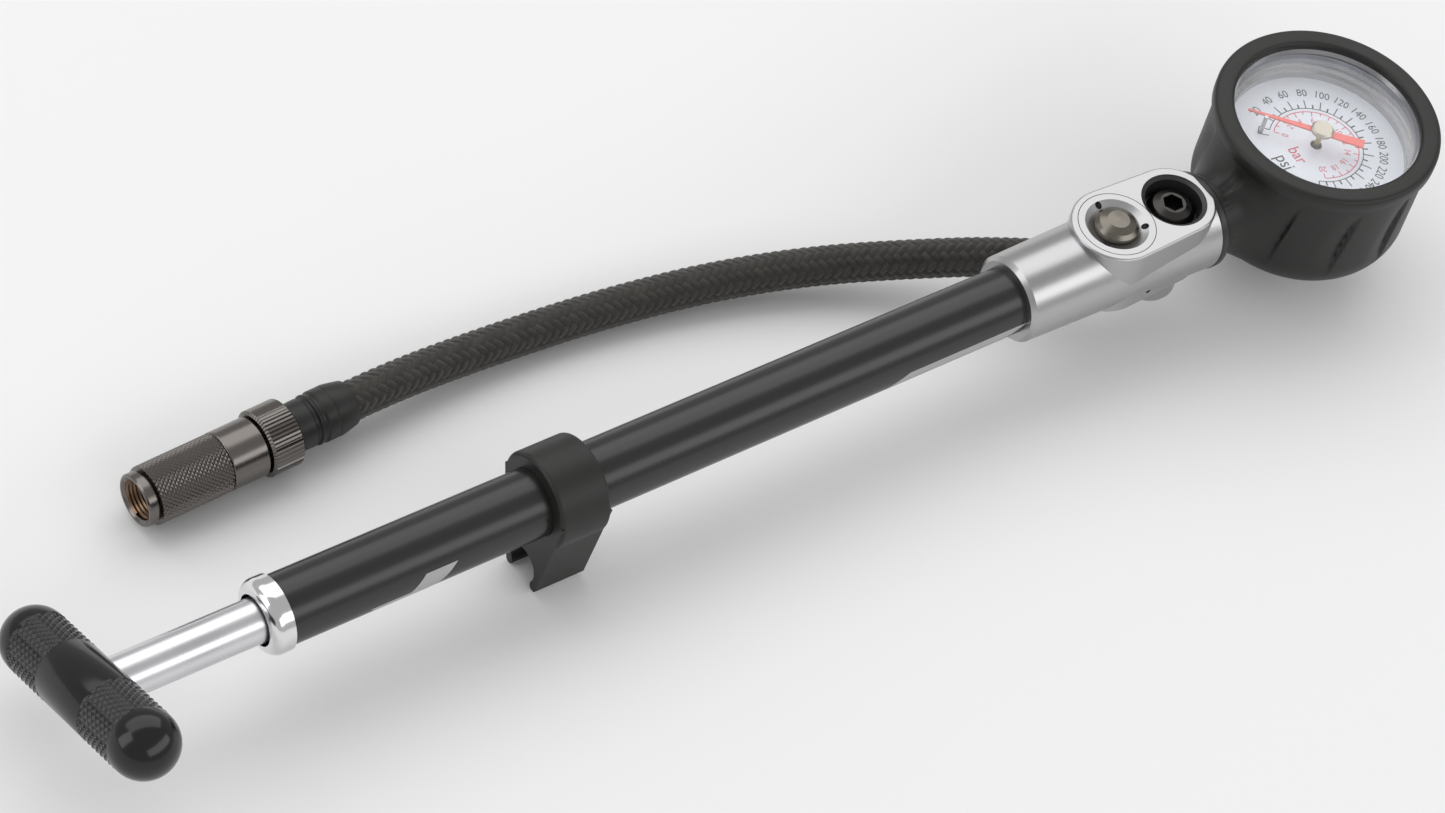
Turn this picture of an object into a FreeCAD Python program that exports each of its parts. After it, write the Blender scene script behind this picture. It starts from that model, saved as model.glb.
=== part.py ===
import FreeCAD, Part
import math
import os
import Sketcher

# A hand pump for air-sprung suspension. Lengths are in millimetres. The barrel lies along X with its
# T-handle at the -X end and its gauge at the +X end, the dial faces +Z, and z = 0 is the surface that
# the pump lies on. While the pieces are being described, x = 0 and z = 0 are where the bleed button's
# axis crosses the barrel's axis; place() then moves each piece to the part's own origin.

SIZES = {
    # barrel, plunger and handle
    "barrel_length": 185.0, "barrel_r": 7.0, "barrel_bore": 6.0, "barrel_seat": -13.0,
    "cap_length": 4.3, "cap_r": 7.65, "cap_gap": 0.75, "cap_nose": 2.3, "cap_spigot": 5.0,
    "rod_r": 4.45, "rod_bore": 3.2, "rod_out": 28.0, "rod_plug": 9.0, "rod_depth": 2.0,
    "guide_length": 9.0, "wiper_length": 1.6, "running_gap": 0.05,
    "piston_r": 5.85, "piston_length": 11.0, "piston_stop": 1.7, "piston_socket": 5.4,
    "seal_r": 1.0, "seal_gap": 0.03, "seal_place": 4.0,
    "screw_r": 1.5, "screw_head_r": 2.6, "screw_head": 1.3, "screw_depth": 5.0,
    "handle_r": 6.79, "handle_half": 19.78, "handle_spin": -22.1, "pin_r": 1.25,
    # valve head
    "head_front": -26.0, "head_back": 23.0, "head_r": 9.3, "head_back_r": 10.3, "head_chamfer": 0.9,
    "head_top": 10.6, "head_edge": 0.5, "vent_x": 5.6, "vent_z": -3.4, "vent_r": 0.55,
    "boss_r": 9.6, "boss_back_r": 8.9, "bolt_x": 15.2, "bay_z": -5.6, "bay_start": -7.0, "air_r": 1.4,
    "socket_extra": 1.7, "oring_r": 0.8,
    "seat_length": 2.5, "seat_r": 5.0, "seat_bore": 1.2, "seat_mouth": 2.4, "ball_r": 1.9, "ball_room": 6.0,
    "ball_gap": 0.4, "check_coil_r": 1.5, "check_wire": 0.3,
    "plug_r": 8.1, "plug_gap": 0.15, "plug_depth": 3.7, "plug_spigot_r": 6.5, "plug_spigot": 2.9,
    "button_r": 4.6, "button_floor": 1.6, "button_low": 8.3, "button_edge": 10.7, "button_top": 12.5,
    "stem_r": 1.25, "poppet_r": 2.0, "spanner_ring": 6.0, "spanner_r": 0.75,
    "bleed_coil_r": 2.8, "bleed_wire": 0.3, "insert_r": 6.98, "insert_depth": 5.4, "insert_floor": 1.2,
    "bolt_r": 3.0, "bolt_head_r": 5.1, "hex_r": 2.3, "hex_depth": 2.6,
    # hose swivel and hose
    "hub_r": 6.5, "hub_length": 7.8, "swivel_gap": 0.15, "hub_mid": -10.0, "hose_heading": 150.0,
    "nut_r": 6.1, "nut_length": 0.9, "ferrule_r": 4.25, "ferrule_start": 8.0, "ferrule_end": 17.0,
    "hose_r": 4.15,
    # valve coupler at the hose's end, s counts from its nose
    "nose_x": -201.3, "nose_y": 43.0, "nose_height": 7.0, "nose_heading": 3.1,
    "thread_r": 3.75, "thread_length": 7.2, "coupler_r": 6.12, "coupler_end": 18.8,
    "nose_r": 5.5, "groove_start": 2.0, "groove_end": 2.6, "groove_depth": 0.5,
    "pin_coil_r": 1.12, "pin_wire": 0.18, "pin_spring_length": 8.0,
    "body_r": 6.15, "body_end": 27.2, "neck_r": 4.6, "ring_r": 6.97, "ring_start": 27.7, "ring_end": 34.8,
    "sleeve_start": 35.1, "sleeve_end": 49.3, "sleeve_r": 5.4, "pin_tip": 7.3,
    # gauge
    "gauge_x": 54.7, "case_r": 20.9, "case_wall": 0.9, "case_low": -11.5, "case_top": 16.6,
    "lens_seat": 14.2, "lens_thick": 1.4, "lens_inset": 0.55, "dial_gap": 0.4, "dial_top": 8.1,
    "boot_wall": 2.4, "rim_flare": 1.0, "boot_low": -14.3, "boot_top": 18.2, "boot_corner": 10.5, "lip_cover": 0.9,
    "flute_r": 16.0, "flute_depth": 0.6, "flute_low": -4.0, "flute_length": 17.0,
    "neck_boot_r": 8.5, "collar_r": 10.5, "collar_length": 1.9, "stem_brass_r": 5.0,
    "block_low": -4.5, "block_height": 8.3, "block_half": 3.4, "block_length": 6.4,
    "tube_gap": 3.8, "tube_wall_low": -5.6, "tube_wall_top": -0.6, "tube_half": 0.9,
    "pinion_teeth": 10.0, "sector_teeth": 90.0, "gear_module": 0.2, "arbor_r": 0.6, "sector_angle": -30.0,
    "tail_arm": 5.0, "pointer_z": 12.0, "pointer_angle": 132.0, "pointer_tip": 16.0, "pointer_tail": 9.2,
    # hose clip
    "clip_start": -140.9, "clip_length": 11.4, "clip_r": 10.1, "channel_drop": 17.9, "channel_r": 3.9,
    "mouth_half": 3.15, "jaw_drop": 21.9, "jaw_half": 5.1, "clip_turn": -4.2,
}

doc = FreeCAD.newDocument("suspension_pump")
sheet = doc.addObject("Spreadsheet::Sheet", "Sizes")
for row, (name, value) in enumerate(SIZES.items(), 1):
    sheet.set("A%d" % row, name)
    sheet.set("B%d" % row, str(value))
    sheet.setAlias("B%d" % row, name)
doc.recompute()


class Size:
    """A length that knows both its value and the sheet formula that gives it."""

    def __init__(self, value, formula):
        self.value = value
        self.formula = formula

    def __add__(self, other):
        other = as_size(other)
        return Size(self.value + other.value, "(%s + %s)" % (self.formula, other.formula))

    def __sub__(self, other):
        other = as_size(other)
        return Size(self.value - other.value, "(%s - %s)" % (self.formula, other.formula))

    def __mul__(self, factor):
        return Size(self.value * factor, "(%s * %.9g)" % (self.formula, factor))

    def __neg__(self):
        return self * -1


def as_size(number):
    return number if isinstance(number, Size) else Size(float(number), "(%.9g)" % number)


class SizeList:
    pass


d = SizeList()
for name, value in SIZES.items():
    setattr(d, name, Size(value, "Sizes." + name))

PIECES = []


# ---- how pieces are drawn -----------------------------------------------------------------------------

def new_body(label):
    body = doc.addObject("PartDesign::Body", label)
    body.Label = label
    PIECES.append(body)
    return body


def new_sketch(body, role, offset=0.0):
    """A sketch on one of the body's own origin planes, moved along that plane's normal by offset."""
    sketch = body.newObject("Sketcher::SketchObject", body.Label + "_sketch")
    plane = [feature for feature in body.Origin.OriginFeatures if feature.Role == role][0]
    sketch.AttachmentSupport = (plane, "")
    sketch.MapMode = "FlatFace"
    offset = as_size(offset)
    if offset.value:
        sketch.AttachmentOffset = FreeCAD.Placement(FreeCAD.Vector(0, 0, offset.value), FreeCAD.Rotation())
        sketch.setExpression("AttachmentOffset.Base.z", offset.formula)
    return sketch


def hold(sketch, kind, edge, point, distance):
    distance = as_size(distance)
    index = sketch.addConstraint(Sketcher.Constraint(kind, -1, 1, edge, point, distance.value))
    sketch.setExpression("Constraints[%d]" % index, distance.formula)


def outline(sketch, points):
    """A closed outline of straight sides; every corner is held at its (across, up) place."""
    first = sketch.GeometryCount
    points = [(as_size(across), as_size(up)) for across, up in points]
    corners = [FreeCAD.Vector(across.value, up.value, 0) for across, up in points]
    count = len(points)
    for i in range(count):
        sketch.addGeometry(Part.LineSegment(corners[i], corners[(i + 1) % count]), False)
    joins = [Sketcher.Constraint("Coincident", first + i, 2, first + (i + 1) % count, 1)
             for i in range(count)]
    sketch.addConstraint(joins)
    for i, (across, up) in enumerate(points):
        hold(sketch, "DistanceX", first + i, 1, across)
        hold(sketch, "DistanceY", first + i, 1, up)


def circle(sketch, across, up, radius):
    across, up, radius = as_size(across), as_size(up), as_size(radius)
    centre = FreeCAD.Vector(across.value, up.value, 0)
    edge = sketch.addGeometry(Part.Circle(centre, FreeCAD.Vector(0, 0, 1), radius.value), False)
    hold(sketch, "DistanceX", edge, 3, across)
    hold(sketch, "DistanceY", edge, 3, up)
    index = sketch.addConstraint(Sketcher.Constraint("Radius", edge, radius.value))
    sketch.setExpression("Constraints[%d]" % index, radius.formula)


def spun(body, kind, profile, about, angle=360.0):
    """A solid, or a cut, of revolution; the profile's points are (along the axis, radius)."""
    sketch = new_sketch(body, "XZ_Plane")
    if about == "X":
        outline(sketch, profile)
    else:
        outline(sketch, [(radius, along) for along, radius in profile])
    feature = body.newObject("PartDesign::" + kind, body.Label + "_" + kind.lower())
    feature.Profile = sketch
    feature.ReferenceAxis = (sketch, ["H_Axis" if about == "X" else "V_Axis"])
    feature.Angle = angle
    return feature


def turned(label, profile, about="X", angle=360.0):
    body = new_body(label)
    spun(body, "Revolution", profile, about, angle)
    return body


def bored(body, profile, about="X"):
    return spun(body, "Groove", profile, about)


def extruded(body, kind, role, offset, length, draw, back=False):
    """A pad or pocket of the shape that draw() puts on a plane; back turns its direction round."""
    sketch = new_sketch(body, role, offset)
    draw(sketch)
    feature = body.newObject("PartDesign::" + kind, body.Label + "_" + kind.lower())
    feature.Profile = sketch
    length = as_size(length)
    feature.Length = length.value
    feature.setExpression("Length", length.formula)
    feature.Reversed = back
    return feature


def rounded(body, radius, wanted, kind="Fillet"):
    """Rounds or chamfers the circular edges that wanted(centre, radius) picks."""
    doc.recompute()
    tip = body.Tip
    names = []
    for index, edge in enumerate(tip.Shape.Edges, 1):
        curve = edge.Curve
        if hasattr(curve, "Center") and hasattr(curve, "Radius") and wanted(curve.Center, curve.Radius):
            names.append("Edge%d" % index)
    if not names:
        raise ValueError("no edge to round on " + body.Label)
    feature = body.newObject("PartDesign::" + kind, body.Label + "_" + kind.lower())
    feature.Base = (tip, names)
    if kind == "Fillet":
        feature.Radius = as_size(radius).value
        feature.setExpression("Radius", as_size(radius).formula)
    else:
        feature.Size = as_size(radius).value
        feature.setExpression("Size", as_size(radius).formula)
    return feature


def near(one, other):
    return abs(one - other) < 0.02


# ---- where pieces go ----------------------------------------------------------------------------------

# The gauge's boot, lens, dial and tube all take their size from its case.
case_inner = d.case_r - d.case_wall
dial_r = case_inner - d.dial_gap
tube_mid_r = case_inner - d.tube_gap
lens_r = d.case_r - d.lens_inset
lip_r = d.case_r - d.lip_cover
boot_r = d.case_r + d.boot_wall
rim_r = boot_r + d.rim_flare

barrel_end = d.barrel_seat - d.barrel_length
cap_end = barrel_end - d.cap_length
handle_x = cap_end - d.rod_out - d.handle_r
middle_x = (handle_x - d.handle_r + d.gauge_x + rim_r) * 0.5

# The clip's lower jaw tip is the lowest point, so it sets the height of the barrel's axis.
clip_lean = math.radians(abs(SIZES["clip_turn"]))
jaw_tip_r = (d.jaw_half - d.mouth_half) * 0.5
jaw_mid = (d.jaw_half + d.mouth_half) * 0.5
axis_height = (d.jaw_drop - jaw_tip_r) * math.cos(clip_lean) + jaw_mid * math.sin(clip_lean) + jaw_tip_r


def place(piece, x, y=0.0, z=0.0, turn=None):
    """Moves a piece to (x, y, z) from the crossing of the axes, turned about its own origin."""
    spot = (as_size(x) - middle_x, as_size(y), as_size(z) + axis_height)
    rotation = turn if turn else FreeCAD.Rotation()
    piece.Placement = FreeCAD.Placement(FreeCAD.Vector(*[part.value for part in spot]), rotation)
    for name, part in zip("xyz", spot):
        piece.setExpression(".Placement.Base." + name, part.formula)


def about_z(degrees):
    return FreeCAD.Rotation(FreeCAD.Vector(0, 0, 1), degrees)


def shaped(label, shape):
    piece = doc.addObject("Part::Feature", label)
    piece.Label = label
    piece.Shape = shape
    PIECES.append(piece)
    return piece


def coil_spring(label, radius, wire, length, turns):
    """A round-wire compression spring standing on the XY plane."""
    inner = length - 2 * wire
    helix = Part.makeHelix(inner / turns, inner, radius)
    helix.translate(FreeCAD.Vector(0, 0, wire))
    start = FreeCAD.Vector(radius, 0, wire)
    section = Part.Wire(Part.makeCircle(wire, start, FreeCAD.Vector(0, 1, 0)))
    return shaped(label, Part.Wire(helix.Edges).makePipeShell([section], True, True))


# ---- barrel and end cap -------------------------------------------------------------------------------

# The barrel is one drawn tube; x counts from its handle end.
barrel = turned("barrel", [(0, d.barrel_bore), (d.barrel_length, d.barrel_bore),
                           (d.barrel_length, d.barrel_r), (0, d.barrel_r)])
place(barrel, barrel_end)

# The cap is a turned ring screwed into the barrel's mouth; the rod passes with a wide gap.
cap_bore = d.rod_r + d.cap_gap
end_cap = turned("end_cap", [(-d.cap_length, cap_bore), (-d.cap_length, d.cap_r), (0, d.cap_r),
                             (0, d.barrel_bore), (d.cap_spigot, d.barrel_bore), (d.cap_spigot, cap_bore)])
rounded(end_cap, d.cap_nose, lambda centre, radius: near(radius, SIZES["cap_r"]) and centre.x < -1)
place(end_cap, barrel_end)

# A wiper and a plastic guide bush sit behind the cap and carry the rod.
guide_bore = d.rod_r + d.running_gap
rod_wiper = turned("rod_wiper", [(0, guide_bore), (0, d.barrel_bore), (d.wiper_length, d.barrel_bore),
                                 (d.wiper_length, guide_bore)])
place(rod_wiper, barrel_end + d.cap_spigot)
rod_guide = turned("rod_guide", [(0, guide_bore), (0, d.barrel_bore), (d.guide_length, d.barrel_bore),
                                 (d.guide_length, guide_bore)])
place(rod_guide, barrel_end + d.cap_spigot + d.wiper_length)

# ---- plunger ------------------------------------------------------------------------------------------

# x counts from the piston's front face, which faces the head.
piston_front = d.barrel_seat - d.piston_stop - d.rod_out
seal_groove = d.seal_r * 2.3
groove_floor = d.barrel_bore - d.seal_gap - d.seal_r * 2
groove_front = d.seal_place - d.piston_socket
piston = turned("piston", [(-d.piston_length, d.rod_r), (-d.piston_length, d.piston_r),
                           (groove_front - seal_groove, d.piston_r),
                           (groove_front - seal_groove, groove_floor),
                           (groove_front, groove_floor), (groove_front, d.piston_r), (0, d.piston_r),
                           (0, d.screw_head_r), (-d.screw_head, d.screw_head_r),
                           (-d.screw_head, d.screw_r),
                           (-d.piston_socket, d.screw_r), (-d.piston_socket, d.rod_r)])
place(piston, piston_front)

piston_seal = doc.addObject("Part::Torus", "piston_seal")
piston_seal.Label = "piston_seal"
seal_mid = d.barrel_bore - d.seal_gap - d.seal_r
piston_seal.Radius1 = seal_mid.value
piston_seal.Radius2 = d.seal_r.value
piston_seal.setExpression("Radius1", seal_mid.formula)
piston_seal.setExpression("Radius2", d.seal_r.formula)
PIECES.append(piston_seal)
place(piston_seal, piston_front + groove_front - seal_groove * 0.5,
      turn=FreeCAD.Rotation(FreeCAD.Vector(0, 1, 0), 90))

piston_screw = turned("piston_screw", [(-d.piston_socket - d.screw_depth, 0),
                                       (-d.piston_socket - d.screw_depth, d.screw_r),
                                       (-d.screw_head, d.screw_r), (-d.screw_head, d.screw_head_r),
                                       (-0.1, d.screw_head_r),
                                       (-0.1, 0)])
place(piston_screw, piston_front)

# The rod is a tube, closed for a short way at the piston so that the screw has metal to bite.
handle_turn = FreeCAD.Rotation(FreeCAD.Vector(1, 0, 0), 90 + SIZES["handle_spin"])
rod_end = piston_front - d.piston_socket
rod_length = rod_end - handle_x + d.rod_depth
rod = turned("piston_rod", [(0, d.rod_bore), (0, d.rod_r), (rod_length, d.rod_r), (rod_length, 0),
                            (rod_length - d.rod_plug, 0), (rod_length - d.rod_plug, d.rod_bore)])
bored(rod, [(rod_length - d.screw_depth, 0), (rod_length - d.screw_depth, d.screw_r),
            (rod_length, d.screw_r), (rod_length, 0)])
extruded(rod, "Pocket", "XZ_Plane", 5.0, 10.0, lambda sketch: circle(sketch, d.rod_depth, 0, d.pin_r))
place(rod, handle_x - d.rod_depth, turn=handle_turn)

# The handle is a bar with round ends, lying across the rod; its own axis is Z before it is spun.
handle_full = d.handle_half + d.handle_r
handle = turned("t_handle", [(-handle_full, 0), (-handle_full, d.handle_r), (handle_full, d.handle_r),
                             (handle_full, 0)], about="Z")
rounded(handle, d.handle_r - 0.02, lambda centre, radius: near(radius, SIZES["handle_r"]))
bored(handle, [(-d.rod_depth, 0), (-d.rod_depth, d.rod_r), (d.handle_r + 1.0, d.rod_r),
               (d.handle_r + 1.0, 0)])
extruded(handle, "Pocket", "XZ_Plane", d.handle_r + 1.0, d.handle_r + 1.0 + d.rod_r + 0.6,
         lambda sketch: circle(sketch, 0, 0, d.pin_r))
place(handle, handle_x, turn=handle_turn)

# A spring pin from the handle's underside locks the rod.
handle_pin = new_body("handle_pin")
extruded(handle_pin, "Pad", "XZ_Plane", -d.rod_r - 0.5, d.handle_r + d.rod_r + 0.2,
         lambda sketch: circle(sketch, 0, 0, d.pin_r))
place(handle_pin, handle_x, turn=handle_turn)

# ---- valve head ---------------------------------------------------------------------------------------

# A cast and machined block: a lying cylinder that takes the barrel, and an upright oval boss on top.
head = turned("head", [(d.head_front, 0), (d.head_front, d.head_r - d.head_chamfer),
                       (d.head_front + d.head_chamfer, d.head_r), (d.head_back, d.head_back_r),
                       (d.head_back, 0)])


def boss_outline(sketch):
    """An oval: two half circles joined by straight sides that taper with the radii."""
    span = d.bolt_x.value
    lean = math.asin((d.boss_r.value - d.boss_back_r.value) / span)
    out_x, out_y = math.sin(lean), math.cos(lean)
    outline(sketch, [(d.boss_r * out_x, d.boss_r * -out_y),
                     (d.bolt_x + d.boss_back_r * out_x, d.boss_back_r * -out_y),
                     (d.bolt_x + d.boss_back_r * out_x, d.boss_back_r * out_y),
                     (d.boss_r * out_x, d.boss_r * out_y)])


extruded(head, "Pad", "XY_Plane", d.bay_z, d.head_top - d.bay_z, boss_outline)
extruded(head, "Pad", "XY_Plane", d.bay_z, d.head_top - d.bay_z,
         lambda sketch: circle(sketch, 0, 0, d.boss_r))
extruded(head, "Pad", "XY_Plane", d.bay_z, d.head_top - d.bay_z,
         lambda sketch: circle(sketch, d.bolt_x, 0, d.boss_back_r))
rounded(head, d.head_edge, lambda centre, radius: near(centre.z, SIZES["head_top"]) and radius > 8.0)
# the machined back face, which the neck ring and the gauge seat on
extruded(head, "Pocket", "YZ_Plane", d.head_back, 4.0, lambda sketch: circle(sketch, 0, 0, 20.0), back=True)
# the flat bay under the head, where the hose swivels
bay_end = d.bolt_x + d.boss_back_r + 1.0
extruded(head, "Pocket", "XZ_Plane", 12.0, 24.0,
         lambda sketch: outline(sketch, [(d.bay_start, -12.0), (bay_end, -12.0), (bay_end, d.bay_z),
                                         (d.bay_start, d.bay_z)]))
# barrel socket, O-ring room, valve seat room, ball room and air passage, along the barrel's axis
socket_end = d.barrel_seat + d.socket_extra
seat_end = socket_end + d.seat_length
ball_end = seat_end + d.ball_room
bored(head, [(d.head_front - 1.0, 0), (d.head_front - 1.0, d.barrel_r), (socket_end, d.barrel_r),
             (socket_end, d.seat_r), (seat_end, d.seat_r), (seat_end, d.ball_r + d.ball_gap),
             (ball_end, d.ball_r + d.ball_gap), (ball_end, d.air_r), (d.bolt_x, d.air_r), (d.bolt_x, 0)])
# gauge port at the back
bored(head, [(d.head_back - 2.0, 0), (d.head_back - 2.0, d.stem_brass_r - 1.5),
             (d.head_back + 1.0, d.stem_brass_r - 1.5), (d.head_back + 1.0, 0)])
# bleed plug's stepped recess and poppet room, upright
plug_floor = d.head_top - d.plug_depth
spigot_floor = plug_floor - d.plug_spigot
bored(head, [(d.head_top + 3.0, 0), (d.head_top + 3.0, d.plug_r + d.plug_gap),
             (plug_floor, d.plug_r + d.plug_gap), (plug_floor, d.plug_spigot_r),
             (spigot_floor, d.plug_spigot_r),
             (spigot_floor, d.poppet_r + 0.3), (-2.6, d.poppet_r + 0.3), (-2.6, 0)], about="Z")
# the swivel bolt's recess and through hole, and the small vent on the near side
extruded(head, "Pocket", "XY_Plane", d.head_top, d.insert_depth,
         lambda sketch: circle(sketch, d.bolt_x, 0, d.insert_r))
extruded(head, "Pocket", "XY_Plane", d.head_top, 30.0, lambda sketch: circle(sketch, d.bolt_x, 0, d.bolt_r))
extruded(head, "Pocket", "XZ_Plane", d.boss_r + 1.0, 5.0,
         lambda sketch: circle(sketch, d.vent_x, d.vent_z, d.vent_r))
place(head, 0)

barrel_seal = doc.addObject("Part::Torus", "barrel_seal")
barrel_seal.Label = "barrel_seal"
oring_mid = d.barrel_r - d.oring_r - 0.05
barrel_seal.Radius1 = oring_mid.value
barrel_seal.Radius2 = d.oring_r.value
barrel_seal.setExpression("Radius1", oring_mid.formula)
barrel_seal.setExpression("Radius2", d.oring_r.formula)
PIECES.append(barrel_seal)
place(barrel_seal, d.barrel_seat + d.socket_extra * 0.5, turn=FreeCAD.Rotation(FreeCAD.Vector(0, 1, 0), 90))

# ---- check valve --------------------------------------------------------------------------------------

# The ball sits in a cone that touches it on a 45 degree line; x counts from the seat's back face.
touch = math.sqrt(0.5)
ball_clear = 0.06
ball_lift_room = 0.7
check_seat = turned("check_seat", [(-d.seat_length, d.seat_bore), (-d.seat_length, d.seat_r),
                                   (0, d.seat_r), (0, d.seat_mouth),
                                   (d.seat_bore - d.seat_mouth, d.seat_bore)])
place(check_seat, seat_end)
check_ball = doc.addObject("Part::Sphere", "check_ball")
check_ball.Label = "check_ball"
check_ball.Radius = d.ball_r.value
check_ball.setExpression("Radius", d.ball_r.formula)
PIECES.append(check_ball)
ball_shift = d.ball_r * (1 / touch) - d.seat_mouth + ball_clear
place(check_ball, seat_end + ball_shift)
spring_room = (ball_end - seat_end - ball_shift - d.ball_r - ball_lift_room).value
check_spring = coil_spring("check_spring", SIZES["check_coil_r"], SIZES["check_wire"], spring_room, 3)
place(check_spring, ball_end - spring_room, turn=FreeCAD.Rotation(FreeCAD.Vector(0, 1, 0), 90))

# ---- bleed valve --------------------------------------------------------------------------------------

# The plug is dished round the button; z counts from the crossing of the axes.
well_floor = spigot_floor + d.button_floor
well_r = d.button_r + d.running_gap
plug = turned("bleed_plug", [(spigot_floor, d.stem_r + 0.1), (spigot_floor, d.plug_spigot_r),
                             (plug_floor, d.plug_spigot_r), (plug_floor, d.plug_r), (d.head_top, d.plug_r),
                             (d.head_top, d.plug_r - 1.4), (d.head_top - 1.1, well_r), (well_floor, well_r),
                             (well_floor, d.stem_r + 0.1)], about="Z")


def spanner_holes(sketch):
    for degrees in (92, -28, 212):
        angle = math.radians(degrees)
        circle(sketch, d.spanner_ring * math.cos(angle), d.spanner_ring * math.sin(angle), d.spanner_r)


extruded(plug, "Pocket", "XY_Plane", d.head_top + 0.5, 3.4, spanner_holes)
place(plug, 0)

button = turned("bleed_button", [(spigot_floor - 2.6, 0), (spigot_floor - 2.6, d.poppet_r),
                                 (spigot_floor - 1.1, d.poppet_r), (spigot_floor - 1.1, d.stem_r),
                                 (d.button_low, d.stem_r), (d.button_low, d.button_r),
                                 (d.button_edge, d.button_r), (d.button_edge + 0.75, d.button_r - 0.75),
                                 (d.button_top - 0.35, d.button_r * 0.5), (d.button_top, 0)], about="Z")
place(button, 0)
bleed_seal = turned("bleed_seal", [(spigot_floor - 1.1, d.stem_r), (spigot_floor - 1.1, d.poppet_r),
                                   (spigot_floor - d.running_gap, d.poppet_r),
                                   (spigot_floor - d.running_gap, d.stem_r)], about="Z")
place(bleed_seal, 0)
bleed_spring = coil_spring("bleed_spring", SIZES["bleed_coil_r"], SIZES["bleed_wire"],
                           (d.button_low - well_floor).value, 2.5)
place(bleed_spring, 0, 0, well_floor)

# ---- hose swivel --------------------------------------------------------------------------------------

insert_floor = d.head_top - d.insert_depth
insert = turned("swivel_insert", [(insert_floor, d.bolt_r), (insert_floor, d.insert_r),
                                  (d.head_top - 0.2, d.insert_r), (d.head_top - 0.6, d.insert_r - 0.9),
                                  (insert_floor + d.insert_floor, d.insert_r - 1.3),
                                  (insert_floor + d.insert_floor, d.bolt_r)],
                about="Z")
place(insert, d.bolt_x)

hub_top = d.bay_z - d.swivel_gap
hub_low = hub_top - d.hub_length
nut_top = hub_low - d.swivel_gap
bolt_seat = insert_floor + d.insert_floor
bolt = turned("swivel_bolt", [(nut_top - d.nut_length, 0), (nut_top - d.nut_length, d.bolt_r),
                              (bolt_seat, d.bolt_r), (bolt_seat, d.bolt_head_r),
                              (bolt_seat + 1.3, d.bolt_head_r), (bolt_seat + 2.7, d.bolt_head_r - 1.0),
                              (bolt_seat + 3.4, d.hex_r + 0.4), (bolt_seat + 3.4, 0)], about="Z")


def hexagon(sketch):
    corners = [math.radians(60 * i) for i in range(6)]
    outline(sketch, [(d.hex_r * math.cos(angle), d.hex_r * math.sin(angle)) for angle in corners])


extruded(bolt, "Pocket", "XY_Plane", bolt_seat + 3.4, d.hex_depth, hexagon)
bored(bolt, [(d.hub_mid - 1.5, 0), (d.hub_mid - 1.5, d.air_r), (1.5, d.air_r), (1.5, 0)], about="Z")
place(bolt, d.bolt_x)

nut = turned("swivel_nut", [(nut_top, d.bolt_r), (nut_top, d.nut_r),
                            (nut_top - d.nut_length + 0.3, d.nut_r),
                            (nut_top - d.nut_length, d.nut_r - 0.3), (nut_top - d.nut_length, d.bolt_r)],
             about="Z")
place(nut, d.bolt_x)

# The hub turns on the bolt; its spout points along local X, which is turned to the hose's heading.
hub_bore = d.bolt_r + d.running_gap
hub = turned("swivel_hub", [(hub_low, hub_bore), (hub_low, 4.0), (hub_low + 1.0, 4.0), (hub_low + 1.0, 5.2),
                            (hub_low, 5.2), (hub_low, d.hub_r), (hub_top, d.hub_r),
                            (hub_top, 5.2), (hub_top - 1.0, 5.2), (hub_top - 1.0, 4.0),
                            (hub_top, 4.0), (hub_top, hub_bore)],
             about="Z")
extruded(hub, "Pad", "YZ_Plane", 5.3, d.ferrule_start + 1.5 - 5.3,
         lambda sketch: circle(sketch, 0, d.hub_mid, 3.0))
extruded(hub, "Pocket", "YZ_Plane", d.ferrule_end, d.ferrule_end - 2.0,
         lambda sketch: circle(sketch, 0, d.hub_mid, 1.2))
place(hub, d.bolt_x, turn=about_z(SIZES["hose_heading"]))

hub_seals = new_body("hub_seals")
for seal_z in (hub_low + 0.1, hub_top - 0.9):
    extruded(hub_seals, "Pad", "XY_Plane", seal_z, 0.8,
             lambda sketch: (circle(sketch, 0, 0, 5.1), circle(sketch, 0, 0, 4.1)))
place(hub_seals, d.bolt_x)

ferrule_length = d.ferrule_end - d.ferrule_start
ferrule = turned("hose_ferrule", [(0, 3.0), (0, d.ferrule_r), (ferrule_length, d.ferrule_r),
                                  (ferrule_length, 1.3), (1.5, 1.3), (1.5, 3.0)])
hose_angle = math.radians(SIZES["hose_heading"])
place(ferrule, d.bolt_x + d.ferrule_start * math.cos(hose_angle), d.ferrule_start * math.sin(hose_angle),
      d.hub_mid, about_z(SIZES["hose_heading"]))

# ---- hose ---------------------------------------------------------------------------------------------

# The route is a list of (x, y, height above the surface); its ends are the ferrule's and the sleeve's.
nose_angle = math.radians(SIZES["nose_heading"])
nose_x, nose_y, nose_height = (SIZES[key] for key in ("nose_x", "nose_y", "nose_height"))
hub_height = axis_height.value + SIZES["hub_mid"]
hose_start = (SIZES["bolt_x"] + SIZES["ferrule_end"] * math.cos(hose_angle),
              SIZES["ferrule_end"] * math.sin(hose_angle), hub_height)
hose_stop = (nose_x + SIZES["sleeve_end"] * math.cos(nose_angle),
             nose_y + SIZES["sleeve_end"] * math.sin(nose_angle), nose_height)
HOSE_ROUTE = [hose_start, (-12.0, 15.704, 12.14), (-27.5, 24.9, 9.3), (-46.5, 34.3, 6.8),
              (-68.5, 41.1, 5.4), (-92.5, 45.0, 4.8), (-114.5, 46.7, 4.8), (-133.5, 46.7, 6.1),
              (-144.5, 46.08, 7.0), hose_stop]


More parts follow.
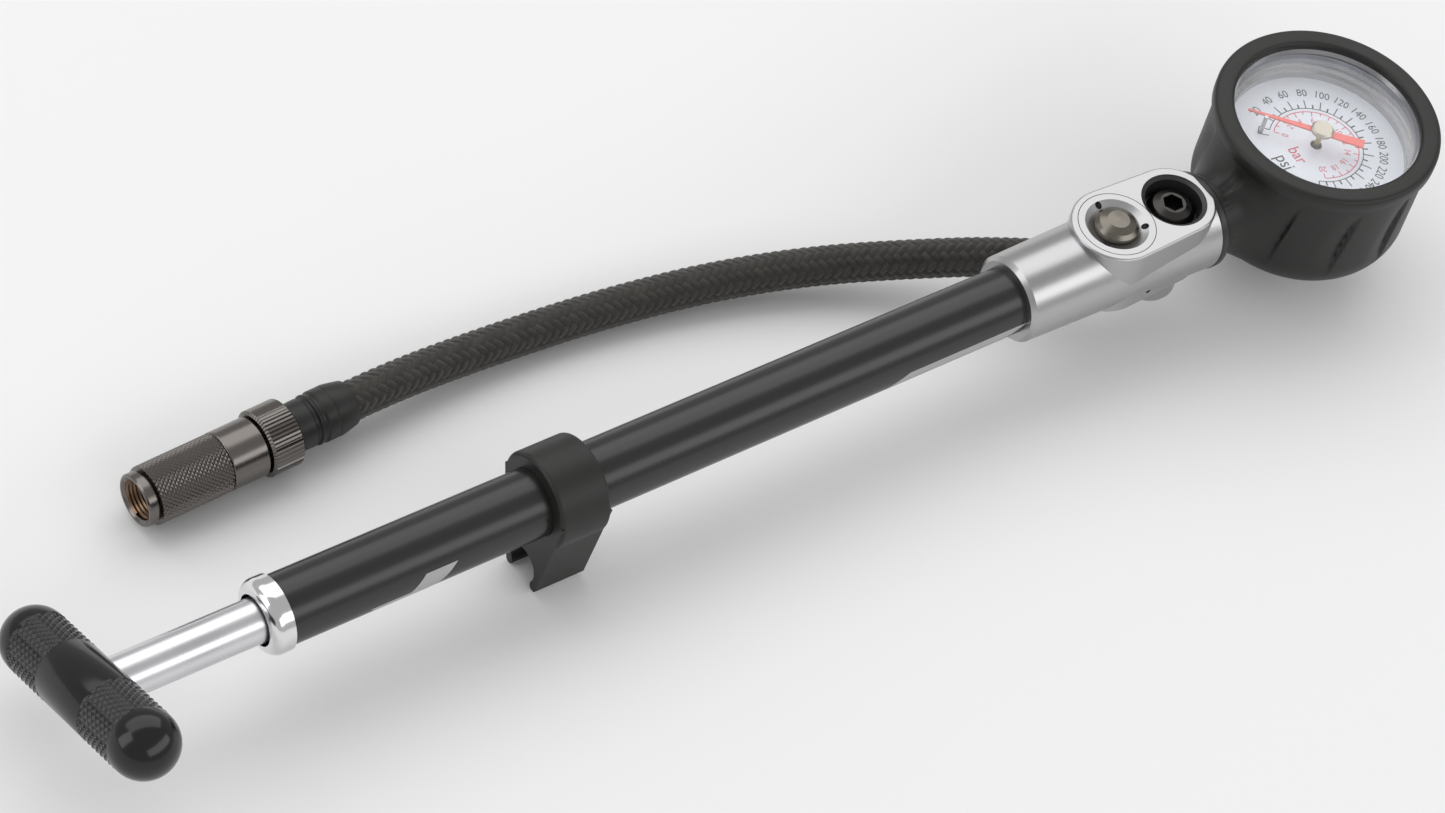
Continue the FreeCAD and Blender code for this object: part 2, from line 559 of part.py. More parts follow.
def bent_tube(label, route, radius):
    """A tube along straight runs joined by tangent arcs, as large as the runs on both sides allow."""
    points = [FreeCAD.Vector(x - middle_x.value, y, height) for x, y, height in route]
    edges, radii, length, last = [], [], 0.0, points[0]
    for before, corner, after in zip(points, points[1:], points[2:]):
        into, out = corner - before, after - corner
        shorter = min(into.Length, out.Length)
        half_turn = into.getAngle(out) / 2
        into.normalize()
        out.normalize()
        reach = 0.45 * shorter
        arc_r = reach / math.tan(half_turn)
        start, stop = corner - into * reach, corner + out * reach
        inward = (out - into).normalize()
        middle = corner + inward * (arc_r / math.cos(half_turn) - arc_r)
        edges.append(Part.LineSegment(last, start).toShape())
        edges.append(Part.Arc(start, middle, stop).toShape())
        radii.append(arc_r)
        last = stop
    edges.append(Part.LineSegment(last, points[-1]).toShape())
    path = Part.Wire(edges)
    start_way = (points[1] - points[0]).normalize()
    section = Part.Wire(Part.makeCircle(radius, points[0], start_way))
    tube = path.makePipeShell([section], True, False)
    print(label, "bend radii", [round(r, 1) for r in radii], "length", round(path.Length, 2),
          "volume over section x length", round(tube.Volume / (math.pi * radius ** 2 * path.Length), 4))
    return shaped(label, tube)


hose = bent_tube("hose", HOSE_ROUTE, SIZES["hose_r"])

# ---- valve coupler ------------------------------------------------------------------------------------


def on_chuck(piece, along=0.0, turn=None):
    """Places a piece on the coupler's axis, along mm from its nose."""
    along = as_size(along)
    rotation = about_z(SIZES["nose_heading"])
    place(piece, d.nose_x + along * math.cos(nose_angle), d.nose_y + along * math.sin(nose_angle),
          d.nose_height - axis_height, rotation * turn if turn else rotation)


stem_r = d.neck_r
flange_start, flange_end = d.thread_length + 1.7, d.coupler_end - 2.4
shank_r = stem_r - 1.0
coupler = turned("coupler", [(0, d.thread_r), (0, d.nose_r - 0.3), (0.3, d.nose_r),
                             (d.groove_start, d.nose_r), (d.groove_start, d.nose_r - d.groove_depth),
                             (d.groove_end, d.nose_r - d.groove_depth),
                             (d.groove_end, d.coupler_r), (d.coupler_end, d.coupler_r),
                             (d.coupler_end, shank_r + d.running_gap),
                             (flange_end + d.running_gap, shank_r + d.running_gap),
                             (flange_end + d.running_gap, stem_r + d.running_gap),
                             (d.thread_length, stem_r + d.running_gap), (d.thread_length, d.thread_r)])
on_chuck(coupler)

barb_end = d.sleeve_end - 2.0
chuck_body = turned("chuck_body", [(flange_start, 1.5), (flange_start, stem_r), (flange_end, stem_r),
                                   (flange_end, shank_r), (d.coupler_end + 0.2, shank_r),
                                   (d.coupler_end + 0.2, d.body_r), (d.body_end, d.body_r),
                                   (d.body_end, stem_r), (d.sleeve_start + 2.0, stem_r),
                                   (d.sleeve_start + 2.0, 2.6), (barb_end, 2.6), (barb_end, 1.5)])
rounded(chuck_body, 0.4, lambda centre, radius: near(radius, SIZES["body_r"]))
on_chuck(chuck_body)

gasket = turned("valve_gasket", [(0, 1.9), (0, 4.4), (1.5, 4.4), (1.5, 1.9)])
on_chuck(gasket, d.thread_length + 0.2)

chuck_ring = turned("chuck_ring", [(d.ring_start, stem_r + d.running_gap), (d.ring_start, d.ring_r - 0.4),
                                   (d.ring_start + 0.4, d.ring_r), (d.ring_end - 0.4, d.ring_r),
                                   (d.ring_end, d.ring_r - 0.4), (d.ring_end, stem_r + d.running_gap)])
on_chuck(chuck_ring)

pin_head = flange_start + 5.0
depressor = turned("depressor_pin", [(d.pin_tip, 0), (d.pin_tip, 0.9), (pin_head, 0.9), (pin_head, 1.4),
                                     (pin_head + 1.0, 1.4), (pin_head + 1.0, 0.7), (pin_head + 9.0, 0.7),
                                     (pin_head + 9.0, 0)])
on_chuck(depressor)
pin_spring = coil_spring("pin_spring", SIZES["pin_coil_r"], SIZES["pin_wire"],
                         SIZES["pin_spring_length"], 7)
on_chuck(pin_spring, pin_head + 1.2, FreeCAD.Rotation(FreeCAD.Vector(0, 1, 0), 90))

# the sleeve has two square grip grooves, each as far behind its front end as listed here
sleeve_r = d.sleeve_r
grip_outline = [(d.sleeve_start, stem_r), (d.sleeve_start, sleeve_r)]
for behind in (4.1, 5.7):
    near_side, far_side = d.sleeve_start + behind, d.sleeve_start + behind + 0.6
    grip_outline += [(near_side, sleeve_r), (near_side, sleeve_r - d.groove_depth),
                     (far_side, sleeve_r - d.groove_depth), (far_side, sleeve_r)]
hose_sleeve = turned("hose_sleeve", grip_outline + [
                                     (d.sleeve_end - 3.8, sleeve_r),
                                     (d.sleeve_end, 4.6), (d.sleeve_end, 0), (barb_end, 0), (barb_end, 2.6),
                                     (d.sleeve_start + 2.0, 2.6), (d.sleeve_start + 2.0, stem_r)])
on_chuck(hose_sleeve)

# ---- gauge housing ------------------------------------------------------------------------------------

case_west = d.gauge_x - d.case_r
block_west = d.gauge_x - case_inner + 0.6
gauge_stem = turned("gauge_stem", [(d.head_back - 1.9, 1.0), (d.head_back - 1.9, d.stem_brass_r - 1.5),
                                   (d.head_back, d.stem_brass_r - 1.5), (d.head_back, d.stem_brass_r),
                                   (case_west - 0.5, d.stem_brass_r), (case_west - 0.5, 3.0),
                                   (block_west + 2.0, 3.0), (block_west + 2.0, 1.0)])
place(gauge_stem, 0)

collar = turned("neck_ring", [(d.head_back, d.stem_brass_r), (d.head_back, d.collar_r),
                              (d.head_back + d.collar_length, d.collar_r),
                              (d.head_back + d.collar_length, d.stem_brass_r)])
rounded(collar, 0.5, lambda centre, radius: near(radius, SIZES["collar_r"]))
place(collar, 0)


def round_bottom(low, radius, corner):
    """Points (z, radius) round a cup's bottom corner, from its floor up to its wall."""
    steps = [math.radians(15 * i) for i in range(7)]
    return [(low + corner * (1 - math.cos(angle)), radius - corner * (1 - math.sin(angle)))
            for angle in steps]


case_corner = d.boot_corner - (boot_r - d.case_r)
case_floor = d.case_low + 1.2
case = turned("gauge_case", [(d.case_low, 0)] + round_bottom(d.case_low, d.case_r, case_corner)
              + [(d.case_top, d.case_r), (d.case_top, lens_r), (d.lens_seat, lens_r),
                 (d.lens_seat, case_inner)]
              + round_bottom(case_floor, case_inner, case_corner - d.case_wall)[::-1] + [(case_floor, 0)],
              about="Z")
extruded(case, "Pocket", "YZ_Plane", -d.case_r - 2.0, 5.0, lambda sketch: circle(sketch, 0, 0, 3.0),
         back=True)
place(case, d.gauge_x)

boot = turned("gauge_boot", [(d.boot_low, 0), (d.boot_low, boot_r), (d.boot_top - 4.2, boot_r),
                             (d.boot_top - 3.2, rim_r), (d.boot_top - 1.0, rim_r),
                             (d.boot_top, rim_r - 1.0), (d.boot_top, lip_r + 0.7),
                             (d.boot_top - 0.7, lip_r), (d.case_low, lip_r), (d.case_low, 0)], about="Z")
rounded(boot, d.boot_corner,
        lambda centre, radius: near(radius, boot_r.value) and near(centre.z, SIZES["boot_low"]))
neck_length = d.gauge_x - d.head_back - d.collar_length
extruded(boot, "Pad", "YZ_Plane", -neck_length, neck_length - d.case_r + 1.0,
         lambda sketch: circle(sketch, 0, 0, d.neck_boot_r))


def flutes(sketch):
    """Ten shallow grip flutes, at the eleven-part pitch that the neck takes one place of."""
    for i in range(1, 11):
        angle = math.radians(180 + i * 360 / 11)
        reach = boot_r + d.flute_r - d.flute_depth
        circle(sketch, reach * math.cos(angle), reach * math.sin(angle), d.flute_r)


extruded(boot, "Pocket", "XY_Plane", d.flute_low, d.flute_length, flutes, back=True)
bored(boot, [(d.case_low, 0)] + round_bottom(d.case_low, d.case_r, case_corner)
      + [(d.case_top, d.case_r), (d.case_top, 0)], about="Z")
bored(boot, [(-neck_length - 1.0, 0), (-neck_length - 1.0, d.stem_brass_r),
             (-d.case_r + 2.0, d.stem_brass_r), (-d.case_r + 2.0, 0)])
place(boot, d.gauge_x)

lens = turned("lens", [(d.lens_seat, 0), (d.lens_seat, lens_r), (d.lens_seat + d.lens_thick, lens_r),
                       (d.lens_seat + d.lens_thick, 0)], about="Z")
place(lens, d.gauge_x)
ring_low = d.lens_seat + d.lens_thick
lens_ring = turned("lens_ring", [(ring_low, lens_r - 0.9), (ring_low, lens_r), (d.case_top, lens_r),
                                 (d.case_top, lens_r - 0.5)], about="Z")
place(lens_ring, d.gauge_x)

# ---- gauge movement -----------------------------------------------------------------------------------

# A brass block takes the stem and the C-shaped pressure tube, whose free end carries the link's pin.
block_bore = block_west - d.gauge_x
block_east = block_bore + d.block_length
block = new_body("gauge_socket")
extruded(block, "Pad", "XY_Plane", d.block_low, d.block_height,
         lambda sketch: outline(sketch, [(block_bore, -d.block_half), (block_east, -d.block_half),
                                         (block_east, d.block_half), (block_bore, d.block_half)]))
bored(block, [(block_bore - 1.0, 0), (block_bore - 1.0, 3.0),
              (block_bore + 2.0, 3.0), (block_bore + 2.0, 0)])
place(block, d.gauge_x)

tube_r = tube_mid_r.value
tube_start, tube_sweep, tube_pin = 193.0, 250.0, 248.0
tube = turned("bourdon_tube", [(d.tube_wall_low, tube_mid_r - d.tube_half),
                               (d.tube_wall_low, tube_mid_r + d.tube_half),
                               (d.tube_wall_top, tube_mid_r + d.tube_half),
                               (d.tube_wall_top, tube_mid_r - d.tube_half)], about="Z", angle=tube_sweep)
tube_pin_angle = math.radians(tube_pin)
extruded(tube, "Pad", "XY_Plane", -3.0, 6.0,
         lambda sketch: circle(sketch, tube_mid_r * math.cos(tube_pin_angle),
                               tube_mid_r * math.sin(tube_pin_angle), 0.7))
place(tube, d.gauge_x, turn=about_z(tube_start))

pitch_r = d.gear_module * (SIZES["pinion_teeth"] / 2)
sector_r = d.gear_module * (SIZES["sector_teeth"] / 2)
spread = pitch_r + sector_r
sector_way = math.radians(SIZES["sector_angle"])
pivot_x, pivot_y = spread * math.cos(sector_way), spread * math.sin(sector_way)
arbor_hole = d.arbor_r + d.running_gap

frame = new_body("movement_frame")


def plate(sketch):
    outline(sketch, [(-9.0, -7.6), (11.0, -7.6), (11.0, 4.6), (-9.0, 4.6)])
    circle(sketch, 0, 0, arbor_hole)
    circle(sketch, pivot_x, pivot_y, arbor_hole)


extruded(frame, "Pad", "XY_Plane", 0.4, 0.9, plate)
extruded(frame, "Pad", "XY_Plane", 0.5, 5.0,
         lambda sketch: (circle(sketch, -7.4, -6.0, 1.1), circle(sketch, -7.4, 3.0, 1.1)))
extruded(frame, "Pad", "XY_Plane", 5.0, 0.9, plate)
extruded(frame, "Pad", "XY_Plane", 0.4, 3.8,
         lambda sketch: outline(sketch, [(block_east, -2.2), (-8.8, -2.2), (-8.8, 2.2), (block_east, 2.2)]))
place(frame, d.gauge_x)


def gear_outline(teeth, module, first_tooth, last_tooth, offset):
    """Corner points of trapezoid teeth, with room for clearance, from one tooth to another."""
    radius = module * teeth / 2
    step = 2 * math.pi / teeth
    points = []
    for i in range(first_tooth, last_tooth + 1):
        middle = (i + offset) * step
        for share, reach in ((-0.27, -1.25), (-0.10, 0.85), (0.10, 0.85), (0.27, -1.25)):
            angle = middle + share * step
            points.append(((radius + reach * module) * math.cos(angle),
                           (radius + reach * module) * math.sin(angle)))
    return points


def solid_of(points, low, thick):
    corners = [FreeCAD.Vector(x, y, low) for x, y in points]
    return Part.Face(Part.makePolygon(corners + corners[:1])).extrude(FreeCAD.Vector(0, 0, thick))


def disc(radius, low, thick, x=0.0, y=0.0):
    return Part.makeCylinder(radius, thick, FreeCAD.Vector(x, y, low))


# The pinion is cut on the pointer's arbor and meshes with the sector at their pitch circles.
module_size = SIZES["gear_module"]
small_teeth, large_teeth = int(SIZES["pinion_teeth"]), int(SIZES["sector_teeth"])
arbor_r = SIZES["arbor_r"]
mesh_way = math.degrees(sector_way)
pinion_shape = solid_of(gear_outline(small_teeth, module_size, 0, small_teeth - 1, 0.0), 2.0, 1.4)
pinion_shape = pinion_shape.fuse(disc(arbor_r, 0.2, SIZES["pointer_z"] + 0.4 - 0.2)).removeSplitter()
pinion = shaped("pointer_shaft", pinion_shape)
place(pinion, d.gauge_x, turn=about_z(mesh_way))

# The sector swings anticlockwise as pressure rises, so its teeth lie clockwise of the mesh at rest.
# A tooth gap of the sector faces the pinion tooth on the line of centres.
sector_points = gear_outline(large_teeth, module_size, -9, 1, 0.5)
hub_points = [(1.6 * math.cos(math.radians(a)), 1.6 * math.sin(math.radians(a))) for a in (60, 0, -100)]
sector_shape = solid_of(sector_points + hub_points, 2.2, 1.0)
sector_shape = sector_shape.fuse([disc(1.9, 2.2, 1.0), disc(arbor_r, 0.2, 5.9)]).removeSplitter()
tail_x = SIZES["tail_arm"] * math.cos(math.radians(180 - mesh_way))
tail_y = SIZES["tail_arm"] * math.sin(math.radians(180 - mesh_way))
tail_side = (-tail_y / SIZES["tail_arm"], tail_x / SIZES["tail_arm"])
arm = solid_of([(tail_side[0] * 0.8, tail_side[1] * 0.8), (-tail_side[0] * 0.8, -tail_side[1] * 0.8),
                (tail_x - tail_side[0] * 0.8, tail_y - tail_side[1] * 0.8),
                (tail_x + tail_side[0] * 0.8, tail_y + tail_side[1] * 0.8)], 2.2, 1.0)
sector_shape = sector_shape.fuse([arm, disc(1.1, 2.2, 1.0, tail_x, tail_y),
                                  disc(0.5, 2.2, 2.1, tail_x, tail_y)])
sector = shaped("sector_gear", sector_shape.removeSplitter())
place(sector, d.gauge_x + pivot_x, pivot_y, 0.0, about_z(mesh_way + 180))

# The link runs from the sector's tail pin to just above the pressure tube's pin: that pivot is open.
tail_spot = (pivot_x.value + SIZES["tail_arm"], pivot_y.value)
tip_angle = math.radians(tube_start + tube_pin)
tip_spot = (tube_r * math.cos(tip_angle), tube_r * math.sin(tip_angle))
span_x, span_y = tip_spot[0] - tail_spot[0], tip_spot[1] - tail_spot[1]
link_span = math.hypot(span_x, span_y)
side_x, side_y = -span_y / link_span * 0.55, span_x / link_span * 0.55
link_shape = solid_of([(side_x, side_y), (-side_x, -side_y), (span_x - side_x, span_y - side_y),
                       (span_x + side_x, span_y + side_y)], 3.5, 0.5)
link_shape = link_shape.fuse([disc(1.1, 3.5, 0.5), disc(1.1, 3.5, 0.5, span_x, span_y)])
link_shape = link_shape.cut(disc(0.55, 3.0, 2.0)).removeSplitter()
link = shaped("link", link_shape)
place(link, d.gauge_x + pivot_x + d.tail_arm, pivot_y)

# ---- dial and pointer ---------------------------------------------------------------------------------

dial = turned("dial", [(d.dial_top - 0.5, 1.3), (d.dial_top - 0.5, dial_r), (d.dial_top, dial_r),
                       (d.dial_top, 1.3)], about="Z")
place(dial, d.gauge_x)
dial_ring = turned("dial_ring", [(d.dial_top, dial_r - 0.6), (d.dial_top, case_inner),
                                 (d.dial_top + 3.2, case_inner), (d.dial_top + 3.2, case_inner - 0.4),
                                 (d.dial_top + 1.6, case_inner - 0.4), (d.dial_top + 1.6, dial_r - 0.6)],
                   about="Z")
place(dial_ring, d.gauge_x)

stop_angle = math.radians(SIZES["pointer_angle"] + 5.2)
stop_pin = turned("stop_pin", [(d.dial_top, 0), (d.dial_top, 0.45), (d.pointer_z + 0.7, 0.45),
                               (d.pointer_z + 0.7, 0)], about="Z")
place(stop_pin, d.gauge_x + 12.0 * math.cos(stop_angle), 12.0 * math.sin(stop_angle))

pointer = new_body("pointer")
extruded(pointer, "Pad", "XY_Plane", d.pointer_z, 0.35,
         lambda sketch: (outline(sketch, [(-d.pointer_tail, -1.15), (-d.pointer_tail, 1.15), (0, 0.75),
                                          (d.pointer_tip, 0.2), (d.pointer_tip, -0.2), (0, -0.75)]),
                         circle(sketch, 0, 0, d.arbor_r)))
place(pointer, d.gauge_x, turn=about_z(SIZES["pointer_angle"]))
hub_cap = turned("pointer_hub", [(d.pointer_z + 0.35, d.arbor_r), (d.pointer_z + 0.35, 2.4),
                                 (d.pointer_z + 1.0, 2.4), (d.pointer_z + 1.35, 2.0),
                                 (d.pointer_z + 1.35, 0), (d.pointer_z + 0.4, 0),
                                 (d.pointer_z + 0.4, d.arbor_r)],
                 about="Z")
place(hub_cap, d.gauge_x, turn=about_z(SIZES["pointer_angle"]))

# ---- hose clip ----------------------------------------------------------------------------------------

# A rubber ring on the barrel with two jaws below, which hold the hose when it is put away.
clip = new_body("hose_clip")
shoulder = d.clip_r * 0.985
extruded(clip, "Pad", "YZ_Plane", 0.0, d.clip_length, lambda sketch: circle(sketch, 0, 0, d.clip_r))
rounded(clip, 0.9, lambda centre, radius: near(radius, SIZES["clip_r"]))
extruded(clip, "Pad", "YZ_Plane", 0.0, d.clip_length,
         lambda sketch: outline(sketch, [(-shoulder, 1.6), (-d.jaw_half, -d.jaw_drop + jaw_tip_r),
                                         (d.jaw_half, -d.jaw_drop + jaw_tip_r), (shoulder, 1.6)]))
for side in (-1, 1):
    extruded(clip, "Pad", "YZ_Plane", 0.0, d.clip_length,
             lambda sketch: circle(sketch, jaw_mid * side, -d.jaw_drop + jaw_tip_r, jaw_tip_r))
extruded(clip, "Pocket", "YZ_Plane", 0.0, d.clip_length,
         lambda sketch: circle(sketch, 0, 0, d.barrel_r + d.running_gap), back=True)
extruded(clip, "Pocket", "YZ_Plane", 0.0, d.clip_length,
         lambda sketch: circle(sketch, 0, -d.channel_drop, d.channel_r), back=True)
extruded(clip, "Pocket", "YZ_Plane", 0.0, d.clip_length,
         lambda sketch: outline(sketch, [(-d.mouth_half, -d.channel_drop), (d.mouth_half, -d.channel_drop),
                                         (d.mouth_half, -d.jaw_drop - 1.0), (-d.mouth_half, -d.jaw_drop - 1.0)]),
         back=True)
place(clip, d.clip_start, turn=FreeCAD.Rotation(FreeCAD.Vector(1, 0, 0), SIZES["clip_turn"]))

# ---- checks and export --------------------------------------------------------------------------------

doc.recompute()
for item in doc.Objects:
    if "Invalid" in item.State or "Error" in item.State:
        raise RuntimeError("%s is %s" % (item.Name, item.State))
    if item.TypeId in ("PartDesign::Pocket", "PartDesign::Groove"):
        if item.Shape.Volume > item.BaseFeature.Shape.Volume - 1e-4:
            raise RuntimeError(item.Name + " cuts nothing")
for piece in PIECES:
    if piece.Shape.isNull() or not piece.Shape.isValid():
        raise RuntimeError(piece.Label + " has no valid shape")

os.makedirs("parts", exist_ok=True)
for piece in PIECES:
    piece.Shape.exportStep("parts/%s.step" % piece.Label)
print(len(PIECES), "pieces written")
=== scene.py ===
import math

import bmesh
import bpy
import numpy as np
from mathutils import Matrix, Vector


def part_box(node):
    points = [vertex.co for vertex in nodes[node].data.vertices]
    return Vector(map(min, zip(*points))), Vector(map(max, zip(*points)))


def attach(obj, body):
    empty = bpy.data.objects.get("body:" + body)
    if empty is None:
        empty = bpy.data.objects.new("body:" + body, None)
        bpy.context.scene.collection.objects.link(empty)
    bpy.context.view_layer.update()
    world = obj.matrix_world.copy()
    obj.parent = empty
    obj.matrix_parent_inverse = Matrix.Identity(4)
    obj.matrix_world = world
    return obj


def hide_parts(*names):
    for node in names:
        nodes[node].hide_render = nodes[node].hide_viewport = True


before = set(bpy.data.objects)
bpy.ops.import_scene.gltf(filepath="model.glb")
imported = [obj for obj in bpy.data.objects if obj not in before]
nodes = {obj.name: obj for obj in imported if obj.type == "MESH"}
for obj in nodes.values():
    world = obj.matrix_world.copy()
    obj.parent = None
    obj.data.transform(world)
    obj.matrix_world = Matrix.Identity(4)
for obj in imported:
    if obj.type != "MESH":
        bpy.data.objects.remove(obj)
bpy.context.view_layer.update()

mm = 0.001

# Camera. It looks down on the pump from the handle's end, a metre away, through a long lens,
# so that the barrel runs up to the right and the gauge is the farthest thing from it.
camera_place = Vector((-434.69, -386.67, 697.10)) * mm
looks_along = Vector((0.4768, 0.4395, -0.7613)).normalized()
camera_right = Vector((0.8089, -0.5582, 0.1844)).normalized()
camera_up = camera_right.cross(looks_along)
camera_data = bpy.data.cameras.new("studio_camera")
camera_data.sensor_width = 36.0
camera_data.lens = 113.4
camera = bpy.data.objects.new("studio_camera", camera_data)
bpy.context.scene.collection.objects.link(camera)
camera.matrix_world = Matrix((
    (camera_right.x, camera_up.x, -looks_along.x, camera_place.x),
    (camera_right.y, camera_up.y, -looks_along.y, camera_place.y),
    (camera_right.z, camera_up.z, -looks_along.z, camera_place.z),
    (0.0, 0.0, 0.0, 1.0)))
bpy.context.scene.camera = camera
bpy.context.scene.view_settings.view_transform = "Standard"

# Studio. A pale seamless floor, a pale room round it and long soft boxes overhead: the gap
# between the two boxes is the dark line that runs along the barrel.
def softbox(name, place, aim, size, power, tint=(1.0, 1.0, 1.0)):
    light = bpy.data.lights.new(name, "AREA")
    light.shape = "RECTANGLE"
    light.size, light.size_y = size
    light.energy = power
    light.color = tint
    lamp = bpy.data.objects.new(name, light)
    lamp.visible_camera = False
    bpy.context.scene.collection.objects.link(lamp)
    lamp.location = place
    lamp.rotation_euler = (Vector(aim) - Vector(place)).to_track_quat("-Z", "Y").to_euler()
    return lamp


softbox("box_behind", (0.15, 0.62, 0.95), (0.0, 0.05, 0.0), (2.2, 0.95), 8.3)
softbox("box_front", (0.35, -0.95, 0.62), (0.0, 0.0, 0.0), (2.0, 0.5), 5.2)
softbox("box_handle", (-1.1, 0.35, 0.55), (-0.1, 0.0, 0.0), (0.6, 0.9), 3.0)

room = bpy.data.worlds.new("room")
room.use_nodes = True
room.node_tree.nodes["Background"].inputs["Color"].default_value = (1.0, 1.0, 1.0, 1.0)
room.node_tree.nodes["Background"].inputs["Strength"].default_value = 0.5
bpy.context.scene.world = room


def deselect():
    if bpy.context.object and bpy.context.object.mode != "OBJECT":
        bpy.ops.object.mode_set(mode="OBJECT")
    bpy.ops.object.select_all(action="DESELECT")


def effect(name, inputs, outputs):
    """Start a shader node group with named inputs and outputs."""
    group = bpy.data.node_groups.new(name, "ShaderNodeTree")
    for label, kind, value in inputs:
        socket = group.interface.new_socket(label, in_out="INPUT", socket_type=kind)
        if value is not None:
            socket.default_value = value
    for label, kind in outputs:
        group.interface.new_socket(label, in_out="OUTPUT", socket_type=kind)
    return group, group.nodes.new("NodeGroupInput"), group.nodes.new("NodeGroupOutput")


def surface_grain():
    """Fine grain for the bump, and broad patches that shift the colour and the gloss."""
    tree, given, out = effect(
        "surface_grain",
        [("Vector", "NodeSocketVector", None), ("Scale", "NodeSocketFloat", 900.0),
         ("Patches", "NodeSocketFloat", 60.0), ("Dark", "NodeSocketColor", (0.1, 0.1, 0.1, 1.0)),
         ("Light", "NodeSocketColor", (0.2, 0.2, 0.2, 1.0)), ("Gloss low", "NodeSocketFloat", 0.3),
         ("Gloss high", "NodeSocketFloat", 0.4)],
        [("Colour", "NodeSocketColor"), ("Roughness", "NodeSocketFloat"), ("Height", "NodeSocketFloat")])
    fine = tree.nodes.new("ShaderNodeTexNoise")
    fine.inputs["Detail"].default_value = 4.0
    broad = tree.nodes.new("ShaderNodeTexNoise")
    broad.inputs["Detail"].default_value = 6.0
    mix = tree.nodes.new("ShaderNodeMix")
    mix.data_type = "RGBA"
    gloss = tree.nodes.new("ShaderNodeMapRange")
    gloss.inputs["From Min"].default_value = 0.3
    gloss.inputs["From Max"].default_value = 0.7
    join = tree.links.new
    join(given.outputs["Vector"], fine.inputs["Vector"])
    join(given.outputs["Scale"], fine.inputs["Scale"])
    join(given.outputs["Vector"], broad.inputs["Vector"])
    join(given.outputs["Patches"], broad.inputs["Scale"])
    join(broad.outputs["Fac"], mix.inputs["Factor"])
    join(given.outputs["Dark"], mix.inputs["A"])
    join(given.outputs["Light"], mix.inputs["B"])
    join(broad.outputs["Fac"], gloss.inputs["Value"])
    join(given.outputs["Gloss low"], gloss.inputs["To Min"])
    join(given.outputs["Gloss high"], gloss.inputs["To Max"])
    join(mix.outputs["Result"], out.inputs["Colour"])
    join(gloss.outputs["Result"], out.inputs["Roughness"])
    join(fine.outputs["Fac"], out.inputs["Height"])
    return tree


grain_group = surface_grain()


def finish(name, dark, light, gloss, metallic=0.0, scale=900.0, patches=60.0, depth=0.00002,
           stretch=(1.0, 1.0, 1.0), level=0.5):
    """A material with the shared grain: two shades of its colour and two ends of its gloss."""
    material = bpy.data.materials.new(name)
    material.use_nodes = True
    tree = material.node_tree
    shader = tree.nodes["Principled BSDF"]
    shader.inputs["Metallic"].default_value = metallic
    shader.inputs["Specular IOR Level"].default_value = level
    place = tree.nodes.new("ShaderNodeTexCoord")
    turn = tree.nodes.new("ShaderNodeMapping")
    turn.inputs["Scale"].default_value = stretch
    grain = tree.nodes.new("ShaderNodeGroup")
    grain.node_tree = grain_group
    grain.name = "grain"
    grain.inputs["Scale"].default_value = scale
    grain.inputs["Patches"].default_value = patches
    grain.inputs["Dark"].default_value = (*dark, 1.0)
    grain.inputs["Light"].default_value = (*light, 1.0)
    grain.inputs["Gloss low"].default_value = gloss[0]
    grain.inputs["Gloss high"].default_value = gloss[1]
    bump = tree.nodes.new("ShaderNodeBump")
    bump.inputs["Distance"].default_value = depth
    join = tree.links.new
    join(place.outputs["Object"], turn.inputs["Vector"])
    join(turn.outputs["Vector"], grain.inputs["Vector"])
    join(grain.outputs["Colour"], shader.inputs["Base Color"])
    join(grain.outputs["Roughness"], shader.inputs["Roughness"])
    join(grain.outputs["Height"], bump.inputs["Height"])
    join(bump.outputs["Normal"], shader.inputs["Normal"])
    return material


def dress(material, *names):
    """Give CAD nodes their finish."""
    for name in names:
        node = nodes[name]
        node.data.materials.clear()
        node.data.materials.append(material)


deselect()
floor_size = 6.0
bpy.ops.mesh.primitive_grid_add(x_subdivisions=8, y_subdivisions=8, size=floor_size)
floor = bpy.context.object
floor.name = "studio_floor"
floor.data.materials.append(finish("pale_floor", (0.86, 0.86, 0.86), (0.88, 0.88, 0.88), (0.8, 0.9),
                                   scale=40.0, patches=3.0, depth=0.0, level=0.1))

# Hose. A textile braid over a rubber tube: twelve yarns wind each way and pass over and under
# two at a time, which makes the herringbone rows. A ferrule grips it at the head, a rubber
# sleeve at the coupler.
hose_route = [(0.082918, 0.0085, 0.012144), (0.07044, 0.015704, 0.01214),
              (0.05494, 0.0249, 0.0093), (0.03594, 0.0343, 0.0068),
              (0.01394, 0.0411, 0.0054), (-0.01006, 0.0450, 0.0048),
              (-0.03206, 0.0467, 0.0048), (-0.05106, 0.0467, 0.0061),
              (-0.06206, 0.04608, 0.0070), (-0.069632, 0.045666, 0.0070)]
hose_radius = 4.15 * mm
yarn_rise = 0.36 * mm
yarn_pitch = 2.0 * mm
yarns_each_way = 12
steps_per_yarn = 5


def smooth_route(name, points):
    """The smooth line through a route, read back as evenly spaced points."""
    line = bpy.data.curves.new(name, "CURVE")
    line.dimensions = "3D"
    line.resolution_u = 64
    spline = line.splines.new("NURBS")
    spline.points.add(len(points) - 1)
    for point, place in zip(spline.points, points):
        point.co = (*place, 1.0)
    spline.order_u = 3
    spline.use_endpoint_u = True
    holder = bpy.data.objects.new(name, line)
    bpy.context.scene.collection.objects.link(holder)
    bpy.context.view_layer.update()
    mesh = bpy.data.meshes.new_from_object(holder)
    path = np.array([vertex.co[:] for vertex in mesh.vertices])
    bpy.data.objects.remove(holder)
    bpy.data.meshes.remove(mesh)
    return path


